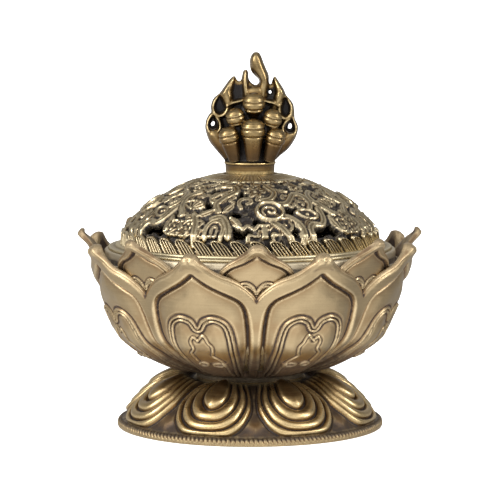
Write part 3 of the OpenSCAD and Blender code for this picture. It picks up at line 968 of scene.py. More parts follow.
def foot_rim():
    """The rim that stands on the table, with a line of slanting notches along its upper edge."""
    columns = RIM_NOTCHES * NOTCH_COLUMNS
    angles = np.arange(columns) * 360 / columns
    inset, up, depth = np.array(FOOT_RIM).T
    slant = np.linspace(0, 1.6, len(FOOT_RIM))
    wave = np.cos(np.radians(angles)[:, None] * RIM_NOTCHES + slant * math.pi)
    cut = depth * np.clip(0.25 + wave, 0, 1)
    piece = ring("foot_rim", angles, FOOT_R - inset - 0.75 * cut, up - 0.65 * cut)
    darkening = 0.34 + 0.2 * ease(up, 1.2, 1.9)
    finish_piece(piece, "base", FOOT_BRASS, "foot", dirt_and_shade=np.tile(darkening, len(angles)))


foot_body()
foot_rim()

# ---- lid

DOME_R = 40.0
DOME_WALL = 1.8
CROWN_R = 10.7
DRUM_R = 29.7
DRUM_TOP_R = 29.2
STEP_R = 31.6
FLANGE_R = 33.3
STEP_RISE = 1.2  # from the lid's seat up to the foot of the drum
DOME_CENTRE_Z = CROWN_Z + 1.1 - DOME_R
GROUND = -0.95  # the openwork's ground, below its highest relief
SCROLL_MM = 3.3  # from one low scroll to the next but one
SCROLL_WAVES = 14
LID_COLUMNS, LID_ROWS = 640, 88  # the openwork's grid
FILLER_PITCH, FILLER_ROW = 2.9, 2.5  # of the small forms, round and up the dome


def dome_profile():
    """From the foot of the drum up over the dome to the crown plate."""
    foot_z = LID_Z + STEP_RISE
    turn_z = DOME_CENTRE_Z + math.sqrt(DOME_R**2 - DRUM_TOP_R**2)
    steps = np.linspace(0, 0.95, 12)
    drum = [(DRUM_R + (DRUM_TOP_R - DRUM_R) * t, foot_z + (turn_z - foot_z) * t) for t in steps]
    lean = np.linspace(math.asin(DRUM_TOP_R / DOME_R), math.asin(CROWN_R / DOME_R), 80)
    return Profile(drum + [(DOME_R * math.sin(t), DOME_CENTRE_Z + DOME_R * math.cos(t)) for t in lean])


def band(x, y, points, width=0.8, height=1.15):
    """A ribbon along a path, with raised edges."""
    away = distance_to(x, y, spline(points, 5))
    body = height * np.clip(1 - (away / width) ** 4, 0, 1)
    return body - 0.3 * ridge(away, 0.5 * width) * (away < width)


def plate(x, y, points):
    """A flat form with a raised edge."""
    depth = depth_in(x, y, spline(points, 5, closed=True))
    return np.where(depth > 0, 0.85 * ease(depth, 0, 0.25) + 0.3 * ridge(depth - 0.35, 0.35), 0)


def medallion(x, y):
    away = np.hypot(x, y)
    height = np.where(away < 2.6, 0.4, 0) + 1.25 * ridge(away - 2.55, 0.65)
    swirl = [(-1.2, -1.0), (-1.5, 0.3), (-0.6, 1.3), (0.7, 1.1), (1.0, 0.1), (0.2, -0.4), (-0.3, 0.1)]
    return np.maximum(height, 1.1 * ridge(distance_to(x, y, spline(swirl, 5)), 0.5))


def jar(x, y):
    """A squat jar with a worm-like texture and a folded neck."""
    outline = [(-2.9, -2.4), (-2.9, 1.0), (-1.9, 2.1), (0, 1.8), (1.9, 2.2), (3, 1.0), (2.7, -2.4), (0, -2.8)]
    body = plate(x, y, outline)
    texture = np.sin(3.4 * x + 1.8 * np.sin(2.3 * y)) * np.sin(3.1 * y + 1.5 * np.sin(2.7 * x))
    body = np.where(body > 0.5, body + 0.28 * texture, body)
    neck = band(x, y, [(-2.1, 3.2), (-0.8, 3.9), (0.4, 3.0), (1.6, 3.8), (2.6, 3.1)], 0.6, 1.0)
    return np.maximum(body, neck)


def arch(x, y):
    bow = [(-1.7, -2.6), (-1.9, 0.2), (-1.1, 1.9), (0, 2.4), (1.1, 1.9), (1.9, 0.2), (1.7, -2.6)]
    outer = band(x, y, bow, 0.62)
    inner = band(x, y, [(-0.4, -2.0), (-0.6, 0.1), (0, 1.0), (0.6, 0.1), (0.4, -2.0)], 0.42, 1.0)
    return np.maximum(outer, inner)


def eye(x, y):
    away = np.hypot(x / 2.6, y / 1.5)
    return np.maximum(1.15 * ridge(away - 0.85, 0.28), 1.0 * ridge(np.hypot(x, y), 0.75))


def leaf(x, y):
    half = 0.95 * np.sin(np.pi * np.clip((y + 2.2) / 4.4, 0, 1)) ** 0.8
    depth = half - np.abs(x)
    height = 0.75 * ease(depth, 0, 0.3) + 0.3 * ridge(x, 0.3) + 0.25 * ridge(depth - 0.2, 0.2)
    return np.where(depth > 0, height, 0)


def blossom(x, y):
    away, turn = np.hypot(x, y), np.arctan2(y, x)
    depth = 2.1 + 0.55 * np.cos(6 * turn) - away
    height = np.where(depth > 0, 0.8 * ease(depth, 0, 0.3) + 0.22 * ridge(depth - 0.3, 0.3), 0)
    return np.maximum(height - 0.25 * ridge(away - 1.0, 0.25), 1.25 * ridge(away, 0.85))


def knot(x, y):
    """Two bands laid over each other in loops."""
    first = band(x, y, [(-2.3, -0.8), (-0.8, -2.3), (2.0, 0.6), (0.8, 2.3), (-2.2, -0.6)], 0.5, 1.2)
    second = band(x, y, [(2.3, -0.8), (0.8, -2.3), (-2.0, 0.6), (-0.8, 2.3), (2.2, -0.6)], 0.5, 1.0)
    return np.maximum(first, second)


def fan(x, y):
    away, turn = np.hypot(x, y + 1.8), np.arctan2(y + 1.8, x)
    spread = (away < 3.6) & (turn > 0.35) & (turn < math.pi - 0.35)
    ribs = 0.75 + 0.3 * np.cos(14 * turn)
    rim = 1.2 * ridge(away - 3.3, 0.45)
    return np.where(spread, np.maximum(ribs * ease(3.6 - away, 0, 0.3), rim), 0)


def post(x, y):
    """A stem with a cap, and a bead beside it."""
    stem = np.where((np.abs(x) < 0.55) & (y > -2) & (y < 1.2), 1.0, 0)
    cap = np.where((np.abs(x) < 1.0) & (y >= 1.2) & (y < 1.8), 1.15, 0)
    bead = 1.15 * np.sqrt(np.clip(1 - (np.hypot(x - 1.9, y + 0.9) / 0.95) ** 2, 0, 1))
    return np.maximum(np.maximum(stem, cap), bead)


def comma(x, y):
    hook = [(-1.3, -1.3), (-1.2, 0.3), (-0.2, 1.1), (0.9, 0.6), (0.8, -0.4), (0.1, -0.5)]
    return band(x, y, hook, 0.5, 1.0)


def wave(x, y):
    return band(x, y, [(-1.6, -0.9), (-0.9, 0.4), (0, 0), (0.9, -0.4), (1.6, 0.9)], 0.52, 1.0)


def bead(x, y):
    return 1.0 * np.sqrt(np.clip(1 - (np.hypot(x, y) / 0.8) ** 2, 0, 1))


# What stands on each quarter of the dome: a form, its angle and height up the dome, its turn and size
QUARTER = [
    (jar, -38, 6.8, 0, 1.0), (arch, -19.5, 6.3, 0, 1.0), (leaf, -9.5, 8.6, 40, 1.15),
    (post, 4.5, 6.0, 0, 1.0), (medallion, 9, 12.2, 0, 1.1), (eye, 30.5, 11, -20, 1.0),
    (blossom, 1.5, 20, 0, 0.95), (leaf, -27, 11.5, -55, 1.1), (fan, -38, 14.2, -10, 0.9),
    (leaf, -15, 13.4, -30, 1.0), (knot, -24, 17.3, 0, 0.8), (leaf, 22, 20.5, 70, 1.0),
    (blossom, 40, 21, 0, 0.7), (comma, -5, 15.8, 20, 1.2), (leaf, 44, 7.4, 8, 1.3),
]
# Ribbons on each quarter, as angle and height up the dome
RIBBONS = [
    [(9, 8.7), (12.5, 7.2), (15.5, 4.6), (17, 2.5)],
    [(14, 10.2), (18.5, 10.2), (22.5, 8), (23.5, 5.5), (22.5, 2.5)],
    [(27, 2.5), (27, 6), (30, 7.6), (35, 7.4), (38, 9.2), (39, 12.6)],
    [(16, 14.8), (21, 15), (26, 16.8), (31, 18.6), (36, 17.6), (37.5, 14.6), (35, 12.8)],
    [(47, 19), (42, 17.5), (41.5, 15), (45, 12.6), (49, 10.5)],
    [(-26, 22.8), (-17, 22.3), (-14, 20), (-20, 17.2), (-24, 14.5), (-20, 12)],
    [(-33, 10.5), (-30, 8), (-28.5, 4), (-28, 2)],
    [(-12, 4), (-13, 7), (-17, 10.2), (-22, 9.6)],
    [(12, 22.5), (16, 19.5), (12, 17), (5, 16.4)],
]
# Windows through each quarter, as angle, height up the dome, half-width and half-height
WINDOWS = [
    (-7.5, 5.6, 3.2, 2.1), (32.0, 5.3, 3.3, 1.8), (19, 5.8, 1.2, 2.2), (40, 12.6, 1.6, 2.6),
    (-49.5, 5.6, 2.0, 2.2), (-8.5, 19.2, 1.8, 1.6), (-29, 14.4, 1.6, 2.0), (2.5, 9.2, 1.7, 1.3),
    (23, 12.8, 2.0, 1.3), (-44, 11.2, 1.4, 1.7), (-11, 11.6, 1.7, 1.4), (30, 21.6, 2.0, 1.1),
    (-34, 20.5, 1.9, 1.3), (-27.5, 5.5, 1.0, 1.6), (10, 17.5, 1.6, 1.2),
]
FILLERS = (comma, wave, leaf, bead, comma, wave)


class Dome:
    """The openwork's height above the plain dome, and where it is pierced, on a grid of angle and height."""

    def __init__(self):
        self.profile = dome_profile()
        self.angle = -90 + np.arange(LID_COLUMNS) * 360 / LID_COLUMNS
        self.up = np.linspace(0, self.profile.s[-1], LID_ROWS)
        self.radius = self.profile.r(self.up)
        self.height = np.full((LID_COLUMNS, LID_ROWS), GROUND)
        self.solid = np.full((LID_COLUMNS, LID_ROWS), 1.0)
        self.taken = []

    def window(self, angle, up, reach):
        """Grid columns and rows near a place, and their position from it in millimetres."""
        radius = np.interp(up, self.up, self.radius)
        columns = min(LID_COLUMNS // 2 - 1, int(reach / radius / TURN * LID_COLUMNS) + 2)
        middle = int(round((angle % 360) / 360 * LID_COLUMNS))
        span = np.arange(middle - columns, middle + columns + 1)
        rows = np.flatnonzero(np.abs(self.up - up) < reach)
        turn = np.radians(span * 360 / LID_COLUMNS - angle % 360)
        x = turn[:, None] * self.radius[rows]
        y = np.tile(self.up[rows] - up, (len(span), 1))
        return np.ix_(span % LID_COLUMNS, rows), x, y

    def raise_by(self, cells, raised):
        """Adds a form to the relief, and makes the dome solid under it."""
        self.height[cells] = np.maximum(self.height[cells], GROUND + raised)
        self.solid[cells] = np.maximum(self.solid[cells], raised - 0.12)

    def stamp(self, form, angle, up, turn, size):
        """Raises a form on the dome."""
        cells, x, y = self.window(angle, up, 5.2 * size)
        c, s = math.cos(math.radians(turn)), math.sin(math.radians(turn))
        self.raise_by(cells, form((x * c + y * s) / size, (y * c - x * s) / size))

    def ribbon(self, points):
        angle = np.mean([p[0] for p in points])
        up = np.mean([p[1] for p in points])
        radius = np.interp(up, self.up, self.radius)
        path = [(math.radians(a - angle) * radius, u - up) for a, u in points]
        cells, x, y = self.window(angle, up, 11)
        self.raise_by(cells, band(x, y, path, 1.0, 1.2))

    def scrolls(self, seed):
        """A low layer of winding scrolls under the other forms, from waves in seeded directions."""
        chance = np.random.default_rng(seed)
        angle = np.radians(self.angle)[:, None]
        x, y = self.radius * np.cos(angle), self.radius * np.sin(angle)
        z = np.tile(self.profile.z(self.up), (LID_COLUMNS, 1))
        total = np.zeros(x.shape)
        for _ in range(SCROLL_WAVES):
            way = chance.normal(size=3)
            way *= TURN / SCROLL_MM / np.linalg.norm(way)
            total += np.sin(way[0] * x + way[1] * y + way[2] * z + chance.uniform(0, TURN))
        away = np.abs(total) * (2 / SCROLL_WAVES) ** 0.5
        low = 0.62 * ease(0.85 - away, 0, 0.35) - 0.22 * ridge(away, 0.3)
        self.height = np.maximum(self.height, GROUND + low)

    def pierce(self, angle, up, half_width, half_height):
        cells, x, y = self.window(angle, up, 4.5)
        outside = (np.hypot(x / half_width, y / half_height) - 1) * min(half_width, half_height)
        self.solid[cells] = np.minimum(self.solid[cells], outside)

    def fill(self, seed):
        """Small forms between the large ones, in rows up the dome."""
        chance = random.Random(seed)
        for row, up in enumerate(np.arange(5.0, self.up[-1] - 1.0, FILLER_ROW)):
            radius = np.interp(up, self.up, self.radius)
            count = int(TURN * radius / FILLER_PITCH)
            for k in range(count):
                angle = 360 * (k + 0.5 * (row % 2)) / count + chance.uniform(-2, 2)
                place = up + chance.uniform(-0.5, 0.5)
                form, turn = chance.choice(FILLERS), chance.uniform(0, 360)
                clear = all(
                    math.hypot(math.radians((angle - a + 180) % 360 - 180) * radius, place - u) > reach
                    for a, u, reach in self.taken
                )
                if clear:
                    self.stamp(form, angle, place, turn, chance.uniform(0.9, 1.15))

    def build(self):
        """The openwork's mesh and the dirt on it."""
        self.scrolls(seed=3)
        quarters = (0, 90, 180, 270)
        for turn in quarters:
            for angle, up, half_width, half_height in WINDOWS:
                self.pierce(angle + turn, up, half_width, half_height)
                self.taken.append((angle + turn, up, 0.5 + 0.6 * half_width))
            self.taken += [(angle + turn, up, 2.5 * size) for _, angle, up, _, size in QUARTER]
        self.fill(seed=7)
        for turn in quarters:
            for points in RIBBONS:
                self.ribbon([(a + turn, u) for a, u in points])
            for form, angle, up, spin, size in QUARTER:
                self.stamp(form, angle + turn, up, spin, 1.1 * size)
        edge = self.up[-1]
        border = ease(self.up, edge - 1.0, edge - 0.6)
        self.height = np.maximum(self.height, (GROUND + 0.9 * border)[None])
        foot = 1 - ease(self.up, 1.5, 2.2)
        self.solid = np.maximum(self.solid, np.maximum(border, foot)[None] * 2 - 1)
        return self.mesh()

    def mesh(self):
        coords, triangles = cut_out(self.solid, wrap=True)
        angle = np.radians(-90 + coords[:, 0] * 360 / LID_COLUMNS)
        up = coords[:, 1] * self.up[1]
        relief, inside_of_dome = sample(self.height, coords, wrap=True), np.full(len(up), -DOME_WALL)
        sheets = []
        for level in (relief, inside_of_dome):
            r, z = self.profile.raised(up, level)
            sheets.append(np.stack([r * np.cos(angle), r * np.sin(angle), z], axis=1))
        dirt_and_shade = np.concatenate([0.62 * (1 - ease(relief - GROUND, 0.3, 1.1)), np.full(len(up), 0.3)])
        return make_mesh("lid_openwork", *closed_sheets(*sheets, triangles)), dirt_and_shade


# The row of waves: how many, the grid of one, and how much of the pitch it fills
WAVES = 42
WAVE_COLUMNS, WAVE_ROWS = 40, 26
WAVE_SHARE = 0.86
WAVE_PITCH = TURN * DRUM_R / WAVES
WAVE_LEAN = 0.75
WAVE_SKEW = 0.12
# Its lower edge, its lowest top and how much higher its middle is, up from the foot of the drum
WAVE_START, WAVE_LOW, WAVE_RISE = -0.3, 0.7, 2.7


def wave_relief(up, across, top):
    """Height of a wave's rim and its three ribs."""
    inner = np.clip(WAVE_SHARE * WAVE_PITCH / 2 - np.abs(across), -1, 9)
    margin = np.minimum(top[:, None] - up, inner)
    height = 0.62 + 0.26 * ridge(margin - 0.3, 0.28) - 0.45 * (1 - ease(margin, 0, 0.3))
    for line in (-0.8, 0.0, 0.8):
        height = height + 0.46 * ridge(across - line, 0.3) * ease(margin, 0.3, 0.6)
    return height - 0.45 * (np.abs(across) < 1.25) * ease(margin, 0.35, 0.6)


def lid_fingers():
    """The row of ribbed, leaning waves along the foot of the dome."""
    columns = WAVES * WAVE_COLUMNS
    place = (np.arange(columns) % WAVE_COLUMNS) / WAVE_COLUMNS * 2 - 1
    skewed = place / WAVE_SHARE + WAVE_SKEW * (1 - (place / WAVE_SHARE) ** 2)
    top = WAVE_LOW + WAVE_RISE * np.clip(1 - np.abs(skewed) ** 2.6, 0, 1) ** 0.5
    up = WAVE_START + (top[:, None] - WAVE_START) * np.linspace(0, 1, WAVE_ROWS)
    height = wave_relief(up, np.tile((place * WAVE_PITCH / 2)[:, None], (1, WAVE_ROWS)), top)
    back = WAVE_START + (up[:, -1:] - WAVE_START) * np.linspace(1, 0, 5)
    up, height = np.hstack([up, back]), np.hstack([height, np.full(back.shape, -0.5)])
    r, z = dome_profile().raised(np.maximum(up, 0), height)
    z = z + np.minimum(up, 0)
    angle = np.radians(-90 + np.arange(columns) * 360 / columns)[:, None] - WAVE_LEAN * up / DRUM_R
    points = np.stack([r * np.cos(angle), r * np.sin(angle), z], axis=-1)
    return make_mesh("lid_waves", points.reshape(-1, 3), ring_faces(*points.shape[:2]))


CROWN_RIBS = 72
RIB_COLUMNS = 8
# Section of the crown plate: radius, drop below its top, and how deep it is between the ribs
CROWN = [
    (11.4, 1.3, 0), (11.6, 1.1, 0), (11.6, 0.85, 0.05), (11.4, 0.66, 0.12), (11.0, 0.5, 0.16),
    (10.2, 0.27, 0.16), (9.2, 0.02, 0.16), (8.2, -0.17, 0.12), (7.2, -0.3, 0.05), (7.0, -0.38, 0),
    (6.4, -0.38, 0), (6.3, 0, 0), (2.2, 0, 0), (2.2, 2.4, 0), (6.5, 2.4, 0), (9.8, 2.1, 0),
]


def lid_crown():
    """The plate on top of the dome, with fine radial ribs."""
    columns = CROWN_RIBS * RIB_COLUMNS
    angles = np.arange(columns) * 360 / columns
    r, drop, depth = np.array(CROWN).T
    wave = np.clip(np.cos(np.radians(angles)[:, None] * CROWN_RIBS) * 1.5, -1, 1)
    z = CROWN_Z - drop - depth * (0.5 - 0.5 * wave)
    return ring("lid_crown", angles, np.tile(r, (columns, 1)), z)


def crown_grime(piece):
    """Dirt in uneven radial streaks."""
    x, y, _ = points_mm(piece).T
    turn = np.arctan2(y, x)
    streaks = (np.sin(7 * turn) + np.sin(19 * turn + 1) + np.sin(43 * turn + 2)) / 3
    return 0.08 + 0.4 * np.clip(streaks, 0, 1)


def lid_flange():
    z = LID_Z
    section = [
        (27.9, z), (33.0, z), (FLANGE_R, z + 0.12), (FLANGE_R, z + 0.48), (FLANGE_R - 0.12, z + 0.6),
        (FLANGE_R - 0.4, z + 0.64), (STEP_R + 0.2, z + 0.64), (STEP_R + 0.06, z + 0.7),
        (STEP_R, z + 0.85), (STEP_R - 0.04, z + 1.08), (STEP_R - 0.2, z + 1.19),
        (STEP_R - 0.5, z + STEP_RISE), (29.3, z + STEP_RISE), (28.6, z + STEP_RISE), (27.9, z + 1.0),
    ]
    return lathe("lid_flange", section, FINE)


openwork, openwork_grime = Dome().build()
finish_piece(openwork, "lid", LID_BRASS, "lid", dirt_and_shade=openwork_grime)
finish_piece(lid_fingers(), "lid", LID_BRASS, "lid")
crown = lid_crown()
finish_piece(crown, "lid", FLANGE_BRASS, "lid", dirt_and_shade=crown_grime(crown))
finish_piece(lid_flange(), "lid", FLANGE_BRASS, "lid")

# ---- finial

# Flames are given in millimetres across and above the finial's seat
FLAME_CELL = 0.15
FLAME_WIDE = 12.0
PLATE = 0.8  # half of the thickness between the flames
HOLLOW_PLATE = 0.4  # and in the hollows
THIN_EDGE = 0.15  # and at the outline, which is rounded over so many millimetres
EDGE_ROUNDING = 0.75
LOBE_RISE = 3.3  # half of the lobes' thickness, rounded over so many millimetres
LOBE_ROUNDING = 3.2
FINIAL_CELL = 0.14  # of the finial's skin
FLAME_OUTLINE = [
    (5.2, 0.0), (5.9, 0.3), (7.2, 1.5), (8.9, 2.9), (10.5, 5.2), (11.2, 7.2), (11.15, 8.6),
    (10.5, 10.0), (10.4, 11.7), (10.1, 13.4), (9.3, 14.6), (8.5, 15.5), (7.9, 16.9), (6.8, 18.6),
    (5.85, 19.9), (5.3, 19.3), (4.9, 18.0), (4.45, 18.6), (4.4, 20.1), (3.8, 21.6), (3.2, 23.0),
    (2.65, 24.5), (2.1, 25.4), (1.2, 25.55), (0.5, 25.1), (0.0, 23.9), (0.0, 22.2), (0.35, 21.0),
    (1.1, 20.1), (1.85, 19.4), (2.15, 18.7), (1.8, 18.1), (1.1, 17.95), (0.2, 18.5), (-0.3, 19.4),
    (-0.35, 20.4), (-0.55, 21.2), (-1.0, 21.5), (-1.6, 21.1), (-1.9, 19.9), (-2.2, 18.9), (-2.9, 18.9),
    (-3.3, 19.6), (-3.7, 20.0), (-4.6, 19.4), (-5.95, 17.6), (-7.1, 16.0), (-8.5, 14.8), (-9.15, 13.1),
    (-9.1, 11.6), (-9.6, 11.0), (-10.3, 9.6), (-10.5, 8.0), (-10.2, 6.5), (-9.5, 4.7), (-8.2, 3.0),
    (-6.9, 1.5), (-5.9, 0.3), (-5.2, 0.0),
]
FLAME_HOLES = [
    [(-8.55, 9.45), (-9.05, 9.0), (-9.1, 8.5), (-8.7, 8.3), (-8.35, 8.6), (-8.25, 9.1)],
    [(9.5, 8.95), (9.0, 8.55), (8.9, 8.0), (9.15, 7.6), (9.65, 7.85), (9.75, 8.4)],
    [(4.75, 16.7), (4.35, 16.3), (4.6, 15.85), (5.05, 16.1)],
]
# Hollows in both faces, round the lower holes and inside the upper loops
FLAME_HOLLOWS = [
    [(-7.1, 15.8), (-7.9, 13.8), (-8.05, 12.6), (-7.4, 11.6), (-6.4, 11.7), (-6.0, 12.6), (-6.3, 13.8),
     (-6.85, 15)],
    [(-8.6, 10.4), (-9.5, 9.4), (-9.6, 8.2), (-8.7, 7.5), (-7.8, 8.0), (-7.7, 9.2)],
    [(8.45, 15.2), (7.7, 13.1), (7.6, 11.8), (8.4, 10.9), (9.1, 11.3), (9.25, 12.7), (8.95, 14.0)],
    [(9.9, 9.5), (8.8, 8.6), (8.4, 7.5), (9.1, 6.8), (10.1, 7.0), (10.35, 8.0)],
]
# Rounded ridges of the flames: across, above the seat, half-width and height at each point
FLAME_RIDGES = [
    # Left: tongue, upper loop, lower loop
    [(-4.7, 12.4, 0.9, 1.9), (-5.0, 13.6, 1.2, 2.4), (-5.3, 15.0, 1.6, 2.7), (-5.6, 16.4, 1.75, 2.7),
     (-5.1, 17.8, 1.5, 2.4), (-4.4, 19.0, 1.0, 1.9), (-3.8, 20.0, 0.5, 1.3)],
    [(-6.9, 16.4, 0.8, 2.2), (-8.1, 14.9, 0.8, 2.2), (-8.75, 13.2, 0.75, 2.2), (-8.5, 11.5, 0.75, 2.2),
     (-7.3, 10.7, 0.75, 2.2), (-5.9, 11.2, 0.75, 2.2), (-5.2, 12.4, 0.75, 2.2)],
    [(-8.9, 11.3, 0.7, 2.0), (-9.9, 9.9, 0.7, 2.2), (-10.1, 8.1, 0.7, 2.4), (-9.2, 6.8, 0.8, 2.6),
     (-7.8, 6.8, 0.8, 2.6), (-6.95, 7.8, 0.75, 2.4), (-7.1, 9.3, 0.7, 2.2), (-7.9, 10.6, 0.6, 2.1)],
    # Right: the same
    [(5.4, 12.2, 0.9, 1.9), (6.2, 13.6, 1.1, 2.4), (6.8, 15.0, 1.4, 2.7), (7.1, 16.2, 1.4, 2.7),
     (6.8, 17.5, 1.25, 2.4), (6.3, 18.8, 0.9, 1.9), (5.85, 19.8, 0.5, 1.3)],
    [(8.4, 15.5, 0.8, 2.2), (9.3, 14.4, 0.8, 2.2), (9.8, 12.7, 0.75, 2.2), (9.5, 11.0, 0.75, 2.2),
     (8.4, 10.1, 0.75, 2.2), (7.1, 10.7, 0.75, 2.2), (6.8, 12.3, 0.75, 2.2), (7.2, 14.0, 0.75, 2.2)],
    [(10.3, 10.2, 0.6, 2.0), (10.8, 8.6, 0.65, 2.2), (10.75, 7.0, 0.7, 2.4), (9.7, 6.0, 0.8, 2.6),
     (8.3, 6.1, 0.8, 2.6), (7.6, 7.6, 0.75, 2.4), (8.1, 9.1, 0.7, 2.2), (9.2, 10.1, 0.6, 2.1)],
    # Shoulders from the loops over the beads to the middle
    [(-5.2, 13.2, 0.9, 2.5), (-4.3, 13.7, 0.8, 2.4), (-3.1, 14.0, 0.7, 2.3), (-1.8, 14.3, 0.7, 2.2)],
    [(6.6, 13.2, 0.9, 2.5), (5.6, 13.7, 0.8, 2.4), (4.3, 14.0, 0.7, 2.3), (3.0, 14.3, 0.7, 2.2)],
    # Middle: prong, tall flame and the body that they rise from
    [(-0.6, 14.2, 0.9, 2.0), (-0.9, 16.2, 0.9, 2.2), (-1.15, 18.4, 0.8, 2.1), (-1.15, 20.2, 0.75, 1.8),
     (-1.05, 21.2, 0.45, 1.3)],
    [(2.8, 14.6, 0.9, 2.0), (3.0, 16.6, 1.2, 2.3), (3.3, 18.6, 1.3, 2.4), (2.8, 20.4, 1.45, 2.4),
     (1.9, 22.2, 1.6, 2.3), (1.4, 23.8, 1.5, 2.1), (1.3, 25.1, 0.9, 1.4)],
    [(-0.2, 15.6, 1.8, 2.1), (1.2, 15.8, 2.2, 2.2), (2.6, 15.8, 1.8, 2.1)],
]
# The two broad lobes that carry the flames
LOBES = [
    [(-4.6, 0.2), (-6.4, 0.6), (-8.6, 2.6), (-10.1, 4.8), (-10.6, 7.0), (-8.8, 8.4), (-6.4, 7.6),
     (-3.6, 4.6)],
    [(4.6, 0.2), (6.4, 0.6), (9.0, 2.6), (10.8, 4.8), (11.3, 7.0), (9.8, 8.0), (7.2, 7.2), (3.8, 4.6)],
]


def flame_ridge(x, z, points):
    """Height of a rounded ridge whose width and height change along its way."""
    path = spline(points, 5)
    height = np.zeros(x.shape)
    for (ax, az, aw, ah), (bx, bz, bw, bh) in zip(path[:-1], path[1:]):
        dx, dz = bx - ax, bz - az
        t = np.clip(((x - ax) * dx + (z - az) * dz) / (dx * dx + dz * dz + 1e-12), 0, 1)
        away = np.hypot(x - ax - t * dx, z - az - t * dz) / (aw + (bw - aw) * t)
        height = np.maximum(height, (ah + (bh - ah) * t) * np.sqrt(np.clip(1 - away**2, 0, 1)))
    return height


def flames():
    """Points and triangles of the flames, the same on both faces."""
    across = np.arange(-FLAME_WIDE, FLAME_WIDE, FLAME_CELL)
    above = np.arange(-0.3, FINIAL_TOP - FINIAL_Z + 0.6, FLAME_CELL)
    x, z = np.meshgrid(across, above, indexing="ij")
    solid = depth_in(x, z, spline(FLAME_OUTLINE, 5, closed=True))
    for hole in FLAME_HOLES:
        solid = np.minimum(solid, -depth_in(x, z, spline(hole, 5, closed=True)))
    height = np.full(x.shape, PLATE)
    for lobe in LOBES:
        depth = np.clip(depth_in(x, z, spline(lobe, 5, closed=True)), 0, LOBE_ROUNDING)
        height = np.maximum(height, soften(LOBE_RISE * np.sqrt(1 - (1 - depth / LOBE_ROUNDING) ** 2), 10))
    for points in FLAME_RIDGES:
        height = np.maximum(height, flame_ridge(x, z, points))
    for hollow in FLAME_HOLLOWS:
        depth = depth_in(x, z, spline(hollow, 5, closed=True))
        height = height - (height - HOLLOW_PLATE) * ease(depth, -0.15, 0.35)
    rounding = np.clip(solid / EDGE_ROUNDING, 0, 1)
    height = THIN_EDGE + (height - THIN_EDGE) * np.sqrt(1 - (1 - rounding) ** 2)
    coords, triangles = cut_out(solid, wrap=False)
    thick = sample(height, coords, wrap=False)
    px = across[0] + coords[:, 0] * FLAME_CELL
    pz = above[0] + coords[:, 1] * FLAME_CELL
    front = np.stack([px, -thick, pz], axis=1)
    back = np.stack([px, thick, pz], axis=1)
    return closed_sheets(front, back, triangles)


def turned(section, segments=40):
    """Points and triangles of a turned solid that closes on its axis. Sections climb."""
    ends = [(ON_AXIS, section[0][1])], [(ON_AXIS, section[-1][1])]
    points = ring_points(*turned_grid(ends[0] + list(section) + ends[1], segments))
    quads = ring_faces(*points.shape[:2])
    return points.reshape(-1, 3), np.vstack([quads[:, [0, 1, 2]], quads[:, [0, 2, 3]]])


def jewel(place, lean, tip, radius, length, foot):
    """An acorn-like jewel: a domed cap, a girdle between two grooves and a cone down to its foot.

    lean turns it sideways and tip tips it forwards, in degrees. length is that of the cone.
    """
    shape = [
        (foot, -0.66 - length), (0.86, -0.82), (0.87, -0.73), (0.76, -0.65), (0.96, -0.57), (1.01, -0.45),
        (1.02, -0.25), (1.0, -0.12), (0.96, -0.07), (0.80, 0.0), (0.96, 0.08), (0.97, 0.16), (0.88, 0.38),
        (0.7, 0.58), (0.45, 0.72), (0.2, 0.78),
    ]
    points, faces = turned([(r * radius, z * radius) for r, z in shape])
    turn = Matrix.Rotation(math.radians(lean), 3, "Y") @ Matrix.Rotation(math.radians(tip), 3, "X")
    return points @ np.array(turn).T + np.array(place), faces


# Jewels of one face: place of the groove under the cap, lean, tip and radius, and the cone's length
# and its foot as parts of the radius
JEWELS = [
    ((0.65, -5.8, 8.1), 0, 7, 2.85, 2.0, 0.5),
    ((-4.95, -5.0, 6.5), -13, 8, 2.45, 1.95, 0.5),
    ((5.95, -5.0, 6.2), 15, 8, 2.4, 1.9, 0.5),
    ((-3.45, -4.1, 10.9), -13, 12, 2.25, 0.5, 0.35),
    ((5.3, -4.1, 10.6), 15, 12, 2.25, 0.5, 0.35),
    ((0.9, -3.5, 14.2), 0, 10, 2.6, 1.0, 0.2),
]
# The core that the jewels stand round: radius and height over the seat
CORE = [
    (5.4, 0.0), (5.5, 0.4), (5.1, 1.0), (4.3, 2.4), (3.9, 5.5), (3.7, 8.5), (3.0, 11.5), (2.0, 14),
    (0.8, 15.4),
]
CORE_DEPTH = 0.86  # of its width


def fused(name, parts, voxel_mm):
    """One skin round several closed solids, in cells of the given size."""
    start, points, faces = 0, [], []
    for part_points, part_faces in parts:
        points.append(part_points)
        faces.append(part_faces + start)
        start += len(part_points)
    rough = make_mesh("rough", np.vstack(points) / MM, np.vstack(faces))
    remesh = rough.modifiers.new("skin", "REMESH")
    remesh.mode = "VOXEL"
    remesh.voxel_size = voxel_mm
    skin = rough.evaluated_get(bpy.context.evaluated_depsgraph_get()).to_mesh()
    points = read(skin.vertices, "co", 3)
    corners = read(skin.loops, "vertex_index", 1, np.int32)
    bpy.data.objects.remove(rough)
    return make_mesh(name, points, corners.reshape(-1, 4))


